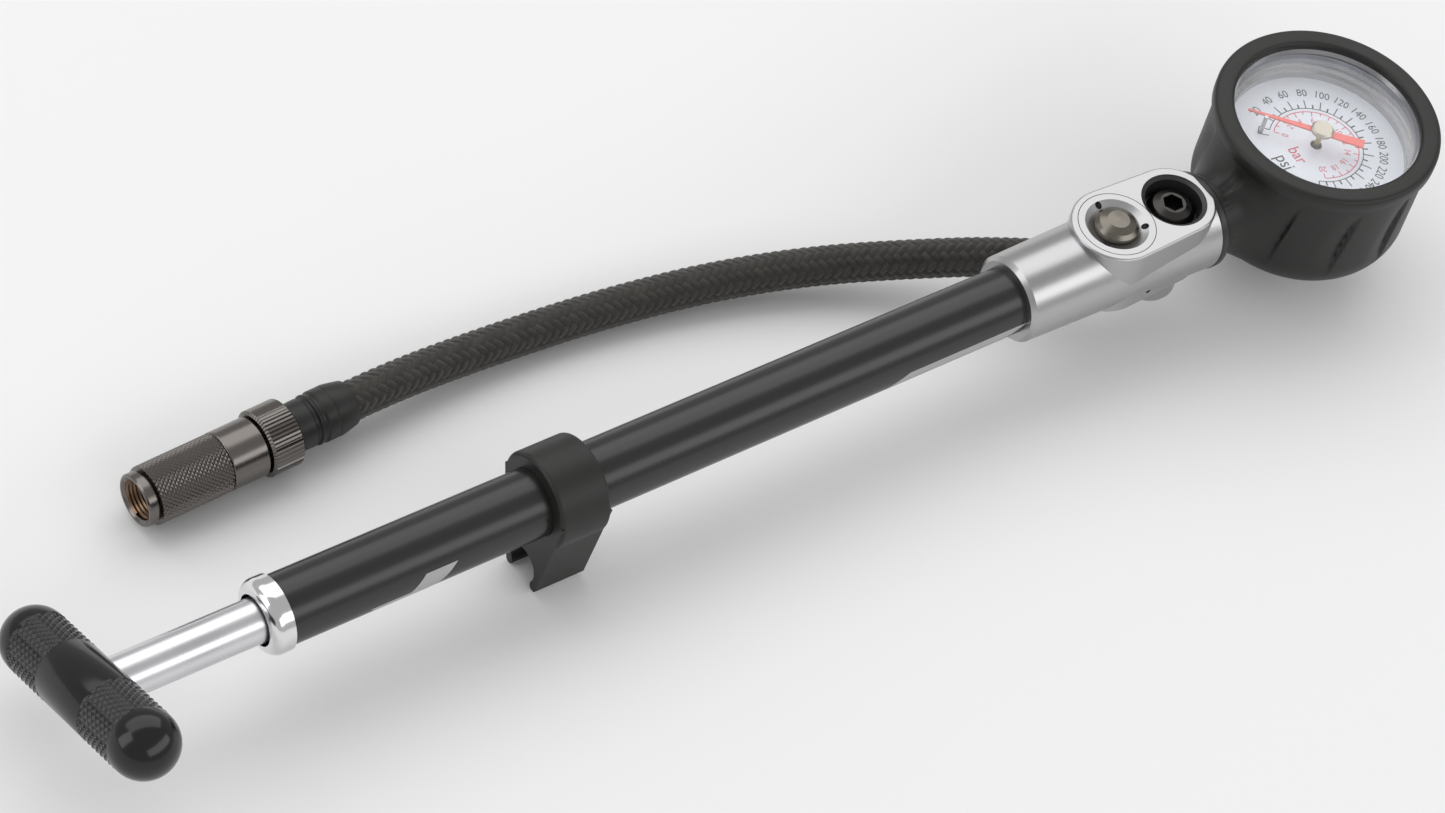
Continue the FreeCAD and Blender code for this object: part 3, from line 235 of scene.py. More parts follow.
def braided_hose(name, path):
    """A tube whose grid follows the yarns both ways, raised where a yarn lies on top."""
    runs = np.linalg.norm(np.diff(path, axis=0), axis=1)
    along = np.concatenate([[0.0], np.cumsum(runs)])
    length = along[-1]
    round_count = yarns_each_way * steps_per_yarn
    rings = int(round(length * 2 * steps_per_yarn / yarn_pitch))
    places = np.linspace(0.0, length, rings + 1)
    centres = np.column_stack([np.interp(places, along, path[:, k]) for k in range(3)])
    heads = np.gradient(centres, axis=0)
    heads /= np.linalg.norm(heads, axis=1)[:, None]
    side = np.cross(heads[0], (0.0, 0.0, 1.0))
    side /= np.linalg.norm(side)
    sides = [side]
    for head in heads[1:]:
        side = sides[-1] - head * np.dot(sides[-1], head)
        sides.append(side / np.linalg.norm(side))
    sides = np.array(sides)
    ups = np.cross(sides, heads)
    points = []
    for ring in range(rings + 1):
        q = 2 * np.arange(round_count) + ring % 2
        right = (ring + q) / (2 * steps_per_yarn)
        left = (ring - q) / (2 * steps_per_yarn)
        turn = math.pi * q / round_count
        right_cell = np.floor(right + 1e-6)
        left_cell = np.floor(left + 1e-6)
        order = (right_cell - left_cell) % 4
        on_top = order < 2
        across = np.where(on_top, right - right_cell, left - left_cell)
        float_start = np.where(on_top, left - left_cell + (1 - order % 2), right - right_cell + order % 2)
        crown = np.sqrt(np.clip(1.0 - (2.0 * across - 1.0) ** 2, 0.0, 1.0))
        dive = np.sqrt(np.clip(np.sin(math.pi * float_start / 2.0), 0.0, 1.0))
        radius = hose_radius - yarn_rise * (1.0 - crown * dive)
        points.append(centres[ring] + radius[:, None] * (
            np.cos(turn)[:, None] * sides[ring] + np.sin(turn)[:, None] * ups[ring]))
    points = np.concatenate(points)

    def corner(ring, q):
        return ring * round_count + (q // 2) % round_count

    faces = []
    threads = []
    for ring in range(rings - 1):
        for k in range(round_count):
            q = 2 * k + ring % 2
            faces.append((corner(ring, q), corner(ring + 1, q - 1),
                          corner(ring + 2, q), corner(ring + 1, q + 1)))
            right = (ring + q) / (2 * steps_per_yarn)
            left = (ring - q) / (2 * steps_per_yarn)
            step = 1.0 / steps_per_yarn
            cell_right = math.floor(right + step / 2)
            cell_left = math.floor(left + step / 2 - 1e-6)
            top_right = (cell_right - cell_left) % 4 < 2
            uv = [(right, left), (right, left + step), (right + step, left + step), (right + step, left)]
            if not top_right:
                uv = [(v + 0.37, u) for u, v in uv]
            threads += uv
    for ring, nearer in ((0, 1), (rings, rings - 1)):
        for k in range(round_count):
            q = 2 * k + ring % 2
            face = (corner(ring, q), corner(ring, q + 2), corner(nearer, q + 1))
            faces.append(face if ring else face[::-1])
            threads += [(0.0, 0.0)] * 3
    first_end = tuple(range(round_count))
    last_end = tuple(rings * round_count + k for k in first_end)
    faces += [first_end, last_end[::-1]]
    threads += [(0.0, 0.0)] * 2 * round_count
    mesh = bpy.data.meshes.new(name)
    mesh.from_pydata(points.tolist(), [], faces)
    layer = mesh.uv_layers.new(name="yarns")
    layer.data.foreach_set("uv", np.array(threads, np.float32).ravel())
    mesh.validate()
    mesh.update()
    hose = bpy.data.objects.new(name, mesh)
    bpy.context.scene.collection.objects.link(hose)
    mesh.shade_smooth()
    return hose


def braid_yarn():
    """Charcoal polyester yarn: each yarn has its own shade and its filaments run along it."""
    material = finish("braid_yarn", (0.013, 0.011, 0.009), (0.040, 0.034, 0.027), (0.48, 0.62),
                      scale=2500.0, patches=420.0, depth=0.00003)
    tree = material.node_tree
    shader = tree.nodes["Principled BSDF"]
    shader.inputs["Sheen Weight"].default_value = 0.25
    shader.inputs["Sheen Roughness"].default_value = 0.4
    uv = tree.nodes.new("ShaderNodeUVMap")
    uv.uv_map = "yarns"
    parts = tree.nodes.new("ShaderNodeSeparateXYZ")
    filaments = tree.nodes.new("ShaderNodeMath")
    filaments.operation = "MULTIPLY"
    filaments.inputs[1].default_value = 5.0 * 2.0 * math.pi
    wave = tree.nodes.new("ShaderNodeMath")
    wave.operation = "SINE"
    yarn = tree.nodes.new("ShaderNodeMath")
    yarn.operation = "FLOOR"
    shade = tree.nodes.new("ShaderNodeTexWhiteNoise")
    shade.noise_dimensions = "1D"
    spread = tree.nodes.new("ShaderNodeMapRange")
    spread.inputs["To Min"].default_value = 0.75
    spread.inputs["To Max"].default_value = 1.35
    tint = tree.nodes.new("ShaderNodeVectorMath")
    tint.operation = "SCALE"
    bump = tree.nodes.new("ShaderNodeBump")
    bump.inputs["Distance"].default_value = 0.00006
    bump.inputs["Strength"].default_value = 0.7
    grain = tree.nodes["grain"]
    join = tree.links.new
    join(uv.outputs["UV"], parts.inputs["Vector"])
    join(parts.outputs["X"], filaments.inputs[0])
    join(filaments.outputs["Value"], wave.inputs[0])
    join(parts.outputs["X"], yarn.inputs[0])
    join(yarn.outputs["Value"], shade.inputs["W"])
    join(shade.outputs["Value"], spread.inputs["Value"])
    join(grain.outputs["Colour"], tint.inputs["Vector"])
    join(spread.outputs["Result"], tint.inputs["Scale"])
    join(tint.outputs["Vector"], shader.inputs["Base Color"])
    join(wave.outputs["Value"], bump.inputs["Height"])
    join(shader.inputs["Normal"].links[0].from_socket, bump.inputs["Normal"])
    join(bump.outputs["Normal"], shader.inputs["Normal"])
    return material


hose_path = smooth_route("hose_line", hose_route)
hose = braided_hose("braided_hose", hose_path)
hose.data.materials.append(braid_yarn())
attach(hose, "hose_swivel")
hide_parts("hose")

# Ferrule, swivel hub and nut. The hose is crimped in a black steel ferrule that screws into a
# banjo-shaped hub of blasted alloy; the hub turns on the bolt between two rubber rings.
black_steel = finish("black_steel", (0.012, 0.012, 0.013), (0.022, 0.021, 0.021), (0.22, 0.34),
                     metallic=0.85, scale=1500.0, patches=300.0, depth=0.000008)
blasted_alloy = finish("blasted_alloy", (0.43, 0.43, 0.435), (0.48, 0.48, 0.485), (0.27, 0.33),
                       metallic=1.0, scale=5200.0, patches=40.0, depth=0.000006)
seal_rubber = finish("seal_rubber", (0.010, 0.010, 0.010), (0.018, 0.017, 0.016), (0.5, 0.65),
                     scale=2200.0, patches=200.0, depth=0.00001)
smoky_steel = finish("smoky_steel", (0.048, 0.046, 0.045), (0.068, 0.065, 0.063), (0.22, 0.3),
                     metallic=1.0, scale=1200.0, patches=120.0, depth=0.000003)
dress(black_steel, "hose_ferrule")
dress(smoky_steel, "swivel_bolt")
dress(blasted_alloy, "head", "swivel_hub", "swivel_nut", "bleed_plug")
dress(seal_rubber, "hub_seals", "bleed_seal", "piston_seal", "barrel_seal", "rod_wiper", "valve_gasket")

# Coupler. A gunmetal sleeve with a fine diamond knurl screws onto the valve; its mouth is
# threaded and stepped down to a plain nose ring. It turns on the chuck body behind it.
chuck_heading = math.radians(3.1)
chuck_axis = Vector((math.cos(chuck_heading), math.sin(chuck_heading), 0.0))
nose_place = Vector((-118.86, 43.0, 7.0)) * mm
nose_radius = 5.5 * mm
sleeve_radius = 6.12 * mm
sleeve_ends = (2.6 * mm, 18.8 * mm)
knurl_depth = 0.3 * mm
knurls_round = 38
knurls_along = 15
thread_pitch = 0.8 * mm
thread_radius = 3.75 * mm


def turned(name, profile, sides):
    """Turn a piece on its own axis, standing on the origin: a ring of points is pushed up
    and opened or closed for each step of the profile of (height, radius)."""
    deselect()
    height, radius = profile[0]
    bpy.ops.mesh.primitive_circle_add(vertices=sides, radius=radius, location=(0.0, 0.0, 0.0))
    piece = bpy.context.object
    piece.name = name
    bpy.ops.object.mode_set(mode="EDIT")
    bpy.ops.mesh.select_all(action="SELECT")
    bpy.ops.transform.translate(value=(0.0, 0.0, height))
    for step_height, step_radius in profile[1:]:
        grow = step_radius / radius
        bpy.ops.mesh.extrude_region_move(
            TRANSFORM_OT_translate={"value": (0.0, 0.0, step_height - height)})
        bpy.ops.transform.resize(value=(grow, grow, 1.0), center_override=(0.0, 0.0, step_height))
        height, radius = step_height, step_radius
    bpy.ops.mesh.select_all(action="SELECT")
    bpy.ops.mesh.remove_doubles(threshold=0.002 * mm)
    bpy.ops.mesh.normals_make_consistent(inside=False)
    bpy.ops.object.mode_set(mode="OBJECT")
    return piece


def choose(piece, wanted):
    """Select the points of the piece in edit mode that a test of their place picks out."""
    shape = bmesh.from_edit_mesh(piece.data)
    for point in shape.verts:
        point.select = wanted(point.co)
    shape.select_flush_mode()
    bmesh.update_edit_mesh(piece.data)


def press_in(piece, wanted, depth, radius):
    """Press chosen points of a turned piece towards its axis."""
    bpy.ops.object.mode_set(mode="EDIT")
    bpy.ops.mesh.select_mode(type="VERT")
    choose(piece, wanted)
    shrink = 1.0 - depth / radius
    bpy.ops.transform.resize(value=(shrink, shrink, 1.0), center_override=(0.0, 0.0, 0.0))


def knurled(piece, low, high, radius, round_count, along_count, depth):
    """Cut a diamond knurl between two heights: every other point of the grid goes in, and the
    low points are joined across the faces, which leaves rows of small pyramids."""
    row = (high - low) / along_count

    def is_low(place):
        if not low - row / 8 < place.z < high + row / 8:
            return False
        if math.hypot(place.x, place.y) < radius * 0.9:
            return False
        column = round(math.atan2(place.y, place.x) * round_count / math.pi)
        return (column + round((place.z - low) / row)) % 2 == 1

    press_in(piece, is_low, depth, radius)
    bpy.ops.mesh.vert_connect()
    bpy.ops.object.mode_set(mode="OBJECT")


def set_down(piece, place, heading, material, body, slot_name, *replaced, smooth=35.0):
    """Put a finished piece in its place, give it its finish and tie it to its body."""
    deselect()
    piece.select_set(True)
    bpy.context.view_layer.objects.active = piece
    piece.location = place
    piece.rotation_euler = Vector((0.0, 0.0, 1.0)).rotation_difference(Vector(heading)).to_euler()
    bpy.ops.object.transform_apply(location=True, rotation=True, scale=True)
    bpy.ops.object.shade_smooth_by_angle(angle=math.radians(smooth))
    piece.data.materials.clear()
    piece.data.materials.append(material)
    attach(piece, body)
    if replaced:
        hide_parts(*replaced)
    return piece


def applied(piece, kind, **settings):
    """Add a modifier to a piece and apply it."""
    deselect()
    piece.select_set(True)
    bpy.context.view_layer.objects.active = piece
    modifier = piece.modifiers.new(kind.lower(), kind)
    for setting, value in settings.items():
        setattr(modifier, setting, value)
    bpy.ops.object.modifier_apply(modifier=modifier.name)
    return piece


gunmetal = finish("gunmetal", (0.15, 0.138, 0.13), (0.19, 0.176, 0.166), (0.2, 0.25), metallic=1.0,
                  scale=700.0, patches=60.0, depth=0.000001)
sleeve_low, sleeve_high = sleeve_ends
sleeve_rows = [(sleeve_low + (sleeve_high - sleeve_low) * k / (2 * knurls_along), sleeve_radius)
               for k in range(2 * knurls_along + 1)]
sleeve_bore = thread_radius + 0.45 * mm
coupler_profile = ([(7.3 * mm, sleeve_bore), (0.5 * mm, sleeve_bore), (0.35 * mm, 4.45 * mm),
                    (0.0, 4.75 * mm), (0.0, nose_radius - 0.3 * mm), (0.3 * mm, nose_radius),
                    (1.8 * mm, nose_radius), (2.0 * mm, 5.0 * mm), (2.3 * mm, 5.0 * mm),
                    (sleeve_low - 0.02 * mm, 5.75 * mm)]
                   + sleeve_rows
                   + [(sleeve_high + 0.02 * mm, 5.8 * mm), (19.15 * mm, 5.6 * mm)]
                   + [(19.15 * mm, 4.8 * mm), (7.3 * mm, 4.8 * mm), (7.3 * mm, sleeve_bore)])
knurled_sleeve = turned("knurled_sleeve", coupler_profile, 2 * knurls_round)
knurled(knurled_sleeve, sleeve_low, sleeve_high, sleeve_radius, knurls_round, 2 * knurls_along,
        knurl_depth)
set_down(knurled_sleeve, nose_place, chuck_axis, gunmetal, "coupler", "gunmetal", "coupler",
         smooth=28.0)

# Valve thread. The female thread that draws the coupler onto the valve, cut in brass-coloured
# metal inside the mouth.
thread_brass = finish("thread_brass", (0.16, 0.10, 0.065), (0.26, 0.17, 0.11), (0.25, 0.4), metallic=1.0,
                      scale=900.0, patches=300.0, depth=0.000004)
deselect()
bpy.ops.mesh.primitive_plane_add(size=thread_pitch / 2)
valve_thread = bpy.context.object
valve_thread.name = "valve_thread"
bpy.ops.object.mode_set(mode="EDIT")
bpy.ops.mesh.select_all(action="SELECT")
bpy.ops.mesh.delete(type="ONLY_FACE")
choose(valve_thread, lambda place: place.x > 0.0 and place.y > 0.0)
bpy.ops.mesh.delete(type="VERT")
thread_shape = bmesh.from_edit_mesh(valve_thread.data)
thread_depth = 0.38 * mm
thread_places = ((thread_radius + thread_depth, 0.0), (thread_radius, thread_pitch / 2),
                 (thread_radius + thread_depth, thread_pitch))
for point, (radius, height) in zip(sorted(thread_shape.verts, key=lambda point: point.co.y), thread_places):
    point.co = (radius, 0.0, height)
bmesh.update_edit_mesh(valve_thread.data)
bpy.ops.object.mode_set(mode="OBJECT")
applied(valve_thread, "SCREW", axis="Z", screw_offset=thread_pitch, iterations=8, steps=64,
        render_steps=64, use_merge_vertices=True, merge_threshold=0.001 * mm)
applied(valve_thread, "SOLIDIFY", thickness=0.05 * mm, offset=-1.0)
set_down(valve_thread, nose_place + chuck_axis * 0.35 * mm, chuck_axis, thread_brass, "coupler", "gunmetal")

# Chuck body and ring. A polished gunmetal body on the end of the hose; the straight-knurled
# ring on it is turned to push the pin into the valve once the coupler has sealed.
dress(gunmetal, "chuck_body")
ring_radius = 6.97 * mm
ring_ends = (27.7 * mm, 34.8 * mm)
ring_teeth = 54
tooth_depth = 0.24 * mm
ring_low, ring_high = ring_ends
ring_bevel = 0.45 * mm
ring_bore = 5.0 * mm
chuck_ring = turned("chuck_ring_knurled", [
    (ring_low, ring_bore), (ring_low, ring_radius - ring_bevel - tooth_depth),
    (ring_low + ring_bevel, ring_radius), (ring_low + 0.3 * (ring_high - ring_low), ring_radius),
    (ring_high - 0.3 * (ring_high - ring_low), ring_radius),
    (ring_high - ring_bevel, ring_radius), (ring_high, ring_radius - ring_bevel - tooth_depth),
    (ring_high, ring_bore), (ring_low, ring_bore)], 4 * ring_teeth)


def in_tooth_groove(place):
    column = round(math.atan2(place.y, place.x) * 2 * ring_teeth / math.pi)
    return math.hypot(place.x, place.y) > ring_radius * 0.97 and column % 4 == 0


press_in(chuck_ring, in_tooth_groove, tooth_depth, ring_radius)
bpy.ops.object.mode_set(mode="OBJECT")
set_down(chuck_ring, nose_place, chuck_axis, gunmetal, "chuck_ring", "gunmetal", "chuck_ring", smooth=25.0)

# Hose sleeve. A moulded rubber strain relief with two grip grooves, which draws down onto the
# braid at its mouth.
soft_rubber = finish("soft_rubber", (0.0095, 0.009, 0.0082), (0.014, 0.0132, 0.012), (0.42, 0.5),
                     scale=3000.0, patches=60.0, depth=0.000006, level=0.42)
sleeve_outer = 5.4 * mm
groove_floor = 4.95 * mm
mouth_radius = 4.62 * mm
hose_sleeve = turned("hose_strain_relief", [
    (35.1 * mm, 3.6 * mm), (35.1 * mm, 4.9 * mm), (36.2 * mm, 5.0 * mm), (38.9 * mm, 5.1 * mm),
    (39.2 * mm, groove_floor - 0.25 * mm), (39.8 * mm, groove_floor - 0.25 * mm),
    (40.1 * mm, sleeve_outer - 0.1 * mm), (40.5 * mm, sleeve_outer - 0.1 * mm),
    (40.8 * mm, groove_floor), (41.4 * mm, groove_floor), (41.8 * mm, sleeve_outer),
    (43.9 * mm, sleeve_outer), (44.1 * mm, sleeve_outer - 0.16 * mm), (44.3 * mm, sleeve_outer),
    (45.5 * mm, sleeve_outer), (47.4 * mm, sleeve_outer - 0.35 * mm),
    (48.9 * mm, mouth_radius + 0.12 * mm), (49.2 * mm, mouth_radius), (49.2 * mm, 4.0 * mm),
    (44.0 * mm, 3.6 * mm), (35.1 * mm, 3.6 * mm)], 96)
applied(hose_sleeve, "BEVEL", width=0.18 * mm, segments=3, limit_method="ANGLE",
        angle_limit=math.radians(18.0))
set_down(hose_sleeve, nose_place, chuck_axis, soft_rubber, "hose_swivel", "rubber", "hose_sleeve",
         smooth=40.0)

# Barrel. Drawn aluminium tube, hard anodised black with a soft gloss, with plain silver bars
# printed round its lower side.
anodised = finish("black_anodised", (0.0115, 0.0105, 0.010), (0.0145, 0.0135, 0.0128), (0.24, 0.28),
                  metallic=0.0, scale=2600.0, patches=30.0, depth=0.000003, stretch=(0.15, 1.0, 1.0), level=0.55)
dress(anodised, "barrel")
barrel_low, barrel_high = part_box("barrel")
barrel_axis = (barrel_low + barrel_high) / 2
barrel_radius = (barrel_high.y - barrel_low.y) / 2
print_rise = 0.012 * mm


def printed_bar(name, near, far, first_turn, last_turn, slant):
    """A thin printed patch wrapped on the barrel; turns are measured from the top towards -Y."""
    deselect()
    bpy.ops.mesh.primitive_grid_add(x_subdivisions=24, y_subdivisions=24, size=1.0)
    bar = bpy.context.object
    bar.name = name
    for point in bar.data.vertices:
        share = point.co.y + 0.5
        turn = math.radians(first_turn + (last_turn - first_turn) * share)
        x = near + (far - near) * (point.co.x + 0.5) + slant * share
        radius = barrel_radius + print_rise
        point.co = (x, -radius * math.sin(turn), barrel_axis.z + radius * math.cos(turn))
    applied(bar, "SOLIDIFY", thickness=0.008 * mm, offset=-1.0)
    return set_down(bar, (0.0, 0.0, 0.0), (0.0, 0.0, 1.0), silver_print, "root", "black_anodised")


silver_print = finish("silver_print", (0.40, 0.40, 0.405), (0.47, 0.47, 0.475), (0.38, 0.48), metallic=0.4,
                      scale=2500.0, patches=200.0, depth=0.000004)
printed_bar("print_bar_head", 27.0 * mm, 57.0 * mm, 86.0, 108.0, -5.0 * mm)
printed_bar("print_bar_long", -99.0 * mm, -90.0 * mm, 100.0, 130.0, 5.0 * mm)
printed_bar("print_bar_short", -87.0 * mm, -80.0 * mm, 70.0, 120.0, -5.0 * mm)

# End cap, rod and piston. A chromed bull-nosed cap closes the barrel over a plastic guide and a
# rubber wiper; the rod is ground steel and carries the piston on a screw.
chrome = finish("polished_chrome", (0.74, 0.74, 0.75), (0.80, 0.80, 0.81), (0.13, 0.15), metallic=1.0,
                scale=600.0, patches=15.0, depth=0.0)
rod_steel = finish("ground_rod", (0.66, 0.66, 0.68), (0.74, 0.74, 0.76), (0.24, 0.32), metallic=1.0,
                   scale=1800.0, patches=80.0, depth=0.000006, stretch=(1.0, 0.12, 0.12))
black_plastic = finish("black_plastic", (0.012, 0.012, 0.012), (0.02, 0.02, 0.02), (0.3, 0.42),
                       scale=2200.0, patches=150.0, depth=0.000008)
turned_steel = finish("turned_steel", (0.42, 0.42, 0.43), (0.46, 0.46, 0.47), (0.24, 0.27), metallic=1.0,
                      scale=1600.0, patches=12.0, depth=0.0)
dress(chrome, "end_cap")
dress(rod_steel, "piston_rod")
dress(black_plastic, "rod_guide", "piston", "neck_ring", "swivel_insert")
dress(turned_steel, "piston_screw", "handle_pin", "check_spring", "check_ball", "bleed_spring",
      "depressor_pin", "pin_spring", "gauge_case", "dial_ring", "stop_pin", "lens_ring")

# Handle. A gloss black bar with round ends, drilled for the rod and pinned to it; two bands of
# coarse diamond knurl give the fingers their grip.
handle_low, handle_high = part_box("t_handle")
handle_place = (handle_low + handle_high) / 2
handle_radius = (handle_high.x - handle_low.x) / 2
handle_reach = (handle_high - handle_low) / 2 - Vector((handle_radius,) * 3)
handle_half = math.hypot(handle_reach.y, handle_reach.z)
handle_axis = Vector((0.0, -handle_reach.y, handle_reach.z)).normalized()
handle_band = 10.5 * mm
handle_margin = 1.5 * mm
handle_knurls = 22
band_rows = 14
band_rise = 0.08 * mm
band_depth = 0.26 * mm
band_guard = 0.2 * mm
dome_steps = 14
band_top = handle_half - handle_margin
band_low = band_top - handle_band
grip_profile = [(-handle_half - handle_radius, 0.01 * mm)]
grip_profile += [(-handle_half - handle_radius * math.cos(math.pi / 2 * k / dome_steps),
                  handle_radius * math.sin(math.pi / 2 * k / dome_steps)) for k in range(1, dome_steps + 1)]
for band in (-band_top, band_low):
    grip_profile.append((band - band_guard, handle_radius))
    grip_profile += [(band + handle_band * k / band_rows, handle_radius + band_rise)
                     for k in range(band_rows + 1)]
    grip_profile.append((band + handle_band + band_guard, handle_radius))
grip_profile += [(handle_half + handle_radius * math.cos(math.pi / 2 * k / dome_steps),
                  handle_radius * math.sin(math.pi / 2 * k / dome_steps)) for k in range(dome_steps, 0, -1)]
grip_profile += [(handle_half + handle_radius, 0.01 * mm)]
t_handle = turned("handle_grip", grip_profile, 2 * handle_knurls)
for band in (-band_top, band_low):
    knurled(t_handle, band, band + handle_band, handle_radius, handle_knurls, band_rows, band_depth)
gloss_black = finish("gloss_black", (0.0065, 0.006, 0.0058), (0.0085, 0.008, 0.0077), (0.15, 0.18),
                     scale=900.0, patches=30.0, depth=0.000002, level=0.42)
set_down(t_handle, handle_place, handle_axis, gloss_black, "plunger", "gloss_black", "t_handle", smooth=22.0)

# Hose clip. Soft rubber ring that grips the barrel, with two jaws below for the folded hose.
dress(soft_rubber, "hose_clip")

# Bleed button. Smoky nickel plate over brass.
smoky_nickel = finish("smoky_nickel", (0.17, 0.155, 0.135), (0.20, 0.185, 0.16), (0.24, 0.28), metallic=1.0,
                      scale=1200.0, patches=40.0, depth=0.0)
dress(smoky_nickel, "bleed_button")

# Gauge body. A steel case in a moulded rubber boot, hung on a brass stem from the head. The boot
# swells into its neck, and eleven shingled panels round it, less the neck's, give a grip.
brass = finish("brass", (0.42, 0.32, 0.16), (0.50, 0.39, 0.21), (0.26, 0.34), metallic=1.0,
               scale=1500.0, patches=160.0, depth=0.000005)
gauge_axis = Vector((137.14, 0.0, 22.144)) * mm
boot_radius = 23.3 * mm
boot_low = -14.3 * mm
boot_corner = 10.5 * mm
wall_top = 14.0 * mm
wall_rows = 34
corner_rows = 18
neck_radius = 8.5 * mm
neck_blend = 6.5 * mm
neck_start = -29.75 * mm
panel_pitch = math.radians(32.7)
first_crease = math.radians(-142.5)
last_panel = 8
crease_depth = 1.0 * mm
crease_low, crease_high = -6.5 * mm, 13.0 * mm
crease_lean = 5.0
dip_start, dip_end = 0.55, 0.97
neck_reach = 0.72
boot_sides = 440
boot_profile = [(boot_low, 0.01 * mm)]
boot_profile += [(boot_low + boot_corner * (1.0 - math.cos(math.pi / 2 * k / corner_rows)),
                  boot_radius - boot_corner * (1.0 - math.sin(math.pi / 2 * k / corner_rows)))
                 for k in range(corner_rows)]
wall_low = boot_low + boot_corner
boot_profile += [(wall_low + (wall_top - wall_low) * k / wall_rows, boot_radius)
                 for k in range(wall_rows + 1)]
boot_profile += [(height * mm, radius * mm) for height, radius in (
    (14.35, 23.4), (14.65, 23.75), (14.9, 24.12), (15.2, 24.3), (17.1, 24.3), (17.6, 24.2), (17.95, 23.92),
    (18.15, 23.5), (18.2, 23.1), (18.2, 20.9), (18.12, 20.5), (17.9, 20.2), (17.5, 20.03), (17.2, 20.0),
    (16.6, 20.0), (16.6, 20.95), (-5.0, 20.95), (-10.0, 17.0), (-11.5, 12.0), (-11.5, 0.01))]
gauge_boot = turned("gauge_boot_moulded", boot_profile, boot_sides)


def boot_swell(place):
    """Move one point of the plain boot: out into the neck's root, or in towards a crease."""
    around = math.hypot(place.x, place.y)
    if around < 21.5 * mm and place.z > boot_low + 3.0 * mm or around < 1.0 * mm or place.z > wall_top:
        return
    turn = math.atan2(place.y, place.x)
    lean = crease_lean * (place.z - 4.0 * mm)
    panels = (turn - first_crease - lean) / panel_pitch
    share = panels - math.floor(panels)
    if 0 <= math.floor(panels) <= last_panel or -2 < panels < 0 and turn < -2.0:
        height = (place.z - crease_low) / (crease_high - crease_low)
        swell = max(0.0, math.sin(math.pi * min(1.0, max(0.0, height))))
        if share < dip_end:
            dip = max(0.0, (share - dip_start) / (dip_end - dip_start)) ** 1.6
        else:
            dip = (1.0 - share) / (1.0 - dip_end)
        shrink = 1.0 - crease_depth * dip * swell ** 0.8 / around
        place.x *= shrink
        place.y *= shrink
    if place.x < 0.0:
        from_neck = math.hypot(place.y, place.z)
        rim = neck_radius + neck_blend
        if from_neck < rim:
            drop = min(rim - from_neck, neck_blend)
            place.x -= neck_reach * (neck_blend - math.sqrt(neck_blend ** 2 - drop ** 2))


deselect()
bpy.context.view_layer.objects.active = gauge_boot
for point in gauge_boot.data.vertices:
    boot_swell(point.co)
neck_profile = [(neck_start, 5.05 * mm), (neck_start, neck_radius - 0.3 * mm),
                (neck_start + 0.3 * mm, neck_radius)]
neck_profile += [(-22.0 * mm, neck_radius), (-22.0 * mm, 5.05 * mm), (neck_start, 5.05 * mm)]
boot_neck = turned("boot_neck", neck_profile, 144)
boot_neck.rotation_euler = (0.0, math.pi / 2, 0.0)
applied(gauge_boot, "BOOLEAN", operation="UNION", object=boot_neck, solver="EXACT")
bpy.data.objects.remove(boot_neck)
set_down(gauge_boot, gauge_axis, (0.0, 0.0, 1.0), soft_rubber, "root", "rubber", "gauge_boot", smooth=50.0)
dress(brass, "check_seat", "gauge_stem", "gauge_socket", "bourdon_tube", "movement_frame",
      "sector_gear", "link", "pointer_shaft")

# Dial. White enamelled plate printed with a black pressure scale in psi and a red one in bar.
dial_white = finish("dial_enamel", (0.66, 0.69, 0.76), (0.71, 0.74, 0.80), (0.35, 0.45), scale=500.0,
                    patches=40.0, depth=0.000001)
dress(dial_white, "dial")
dial_low, dial_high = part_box("dial")
dial_centre = Vector(((dial_low.x + dial_high.x) / 2, 0.0, dial_high.z))
ink_rise = 0.03 * mm
black_ink = finish("black_ink", (0.008, 0.008, 0.01), (0.014, 0.014, 0.018), (0.5, 0.6), depth=0.0)
red_ink = finish("red_ink", (0.52, 0.035, 0.08), (0.60, 0.06, 0.12), (0.5, 0.6), depth=0.0)
zero_turn = 132.0
psi_turn = 0.86
bar_in_psi = 14.504


def scale_turn(psi):
    """Azimuth of a pressure on the dial; the scale runs clockwise seen from above."""
    return math.radians(zero_turn - psi_turn * psi)


def stroke(inner, outer, turn, width):
    """One printed radial line."""
    deselect()
    bpy.ops.mesh.primitive_plane_add(size=1.0)
    line = bpy.context.object
    line.scale = (outer - inner, width, 1.0)
    middle = (inner + outer) / 2
    line.location = (middle * math.cos(turn), middle * math.sin(turn), 0.0)
    line.rotation_euler = (0.0, 0.0, turn)
    bpy.ops.object.transform_apply(location=True, rotation=True, scale=True)
    return line


def arc(inner, outer, first, last):
    """A printed arc: a ring of faces less those outside its two ends."""
    deselect()
    bpy.ops.mesh.primitive_circle_add(vertices=240, radius=inner)
    band = bpy.context.object
    bpy.ops.object.mode_set(mode="EDIT")
    bpy.ops.mesh.select_all(action="SELECT")
    grow = outer / inner
    bpy.ops.mesh.extrude_region_move()
    bpy.ops.transform.resize(value=(grow, grow, 1.0), center_override=(0.0, 0.0, 0.0))
    choose(band, lambda place: not last <= math.atan2(place.y, place.x) <= first)
    bpy.ops.mesh.delete(type="VERT")
    bpy.ops.object.mode_set(mode="OBJECT")
    return band


def label(words, size, distance, turn, up_turn):
    """A printed word or number, its top towards up_turn."""
    deselect()
    bpy.ops.object.text_add()
    text = bpy.context.object
    text.data.body = words
    text.data.size = size
    text.data.align_x = "CENTER"
    text.data.align_y = "CENTER"
    text.data.resolution_u = 3
    bpy.ops.object.convert(target="MESH")
    printed = bpy.context.object
    printed.location = (distance * math.cos(turn), distance * math.sin(turn), 0.0)
    printed.rotation_euler = (0.0, 0.0, up_turn - math.pi / 2)
    printed.scale = (0.86, 1.0, 1.0)
    bpy.ops.object.transform_apply(location=True, rotation=True, scale=True)
    return printed


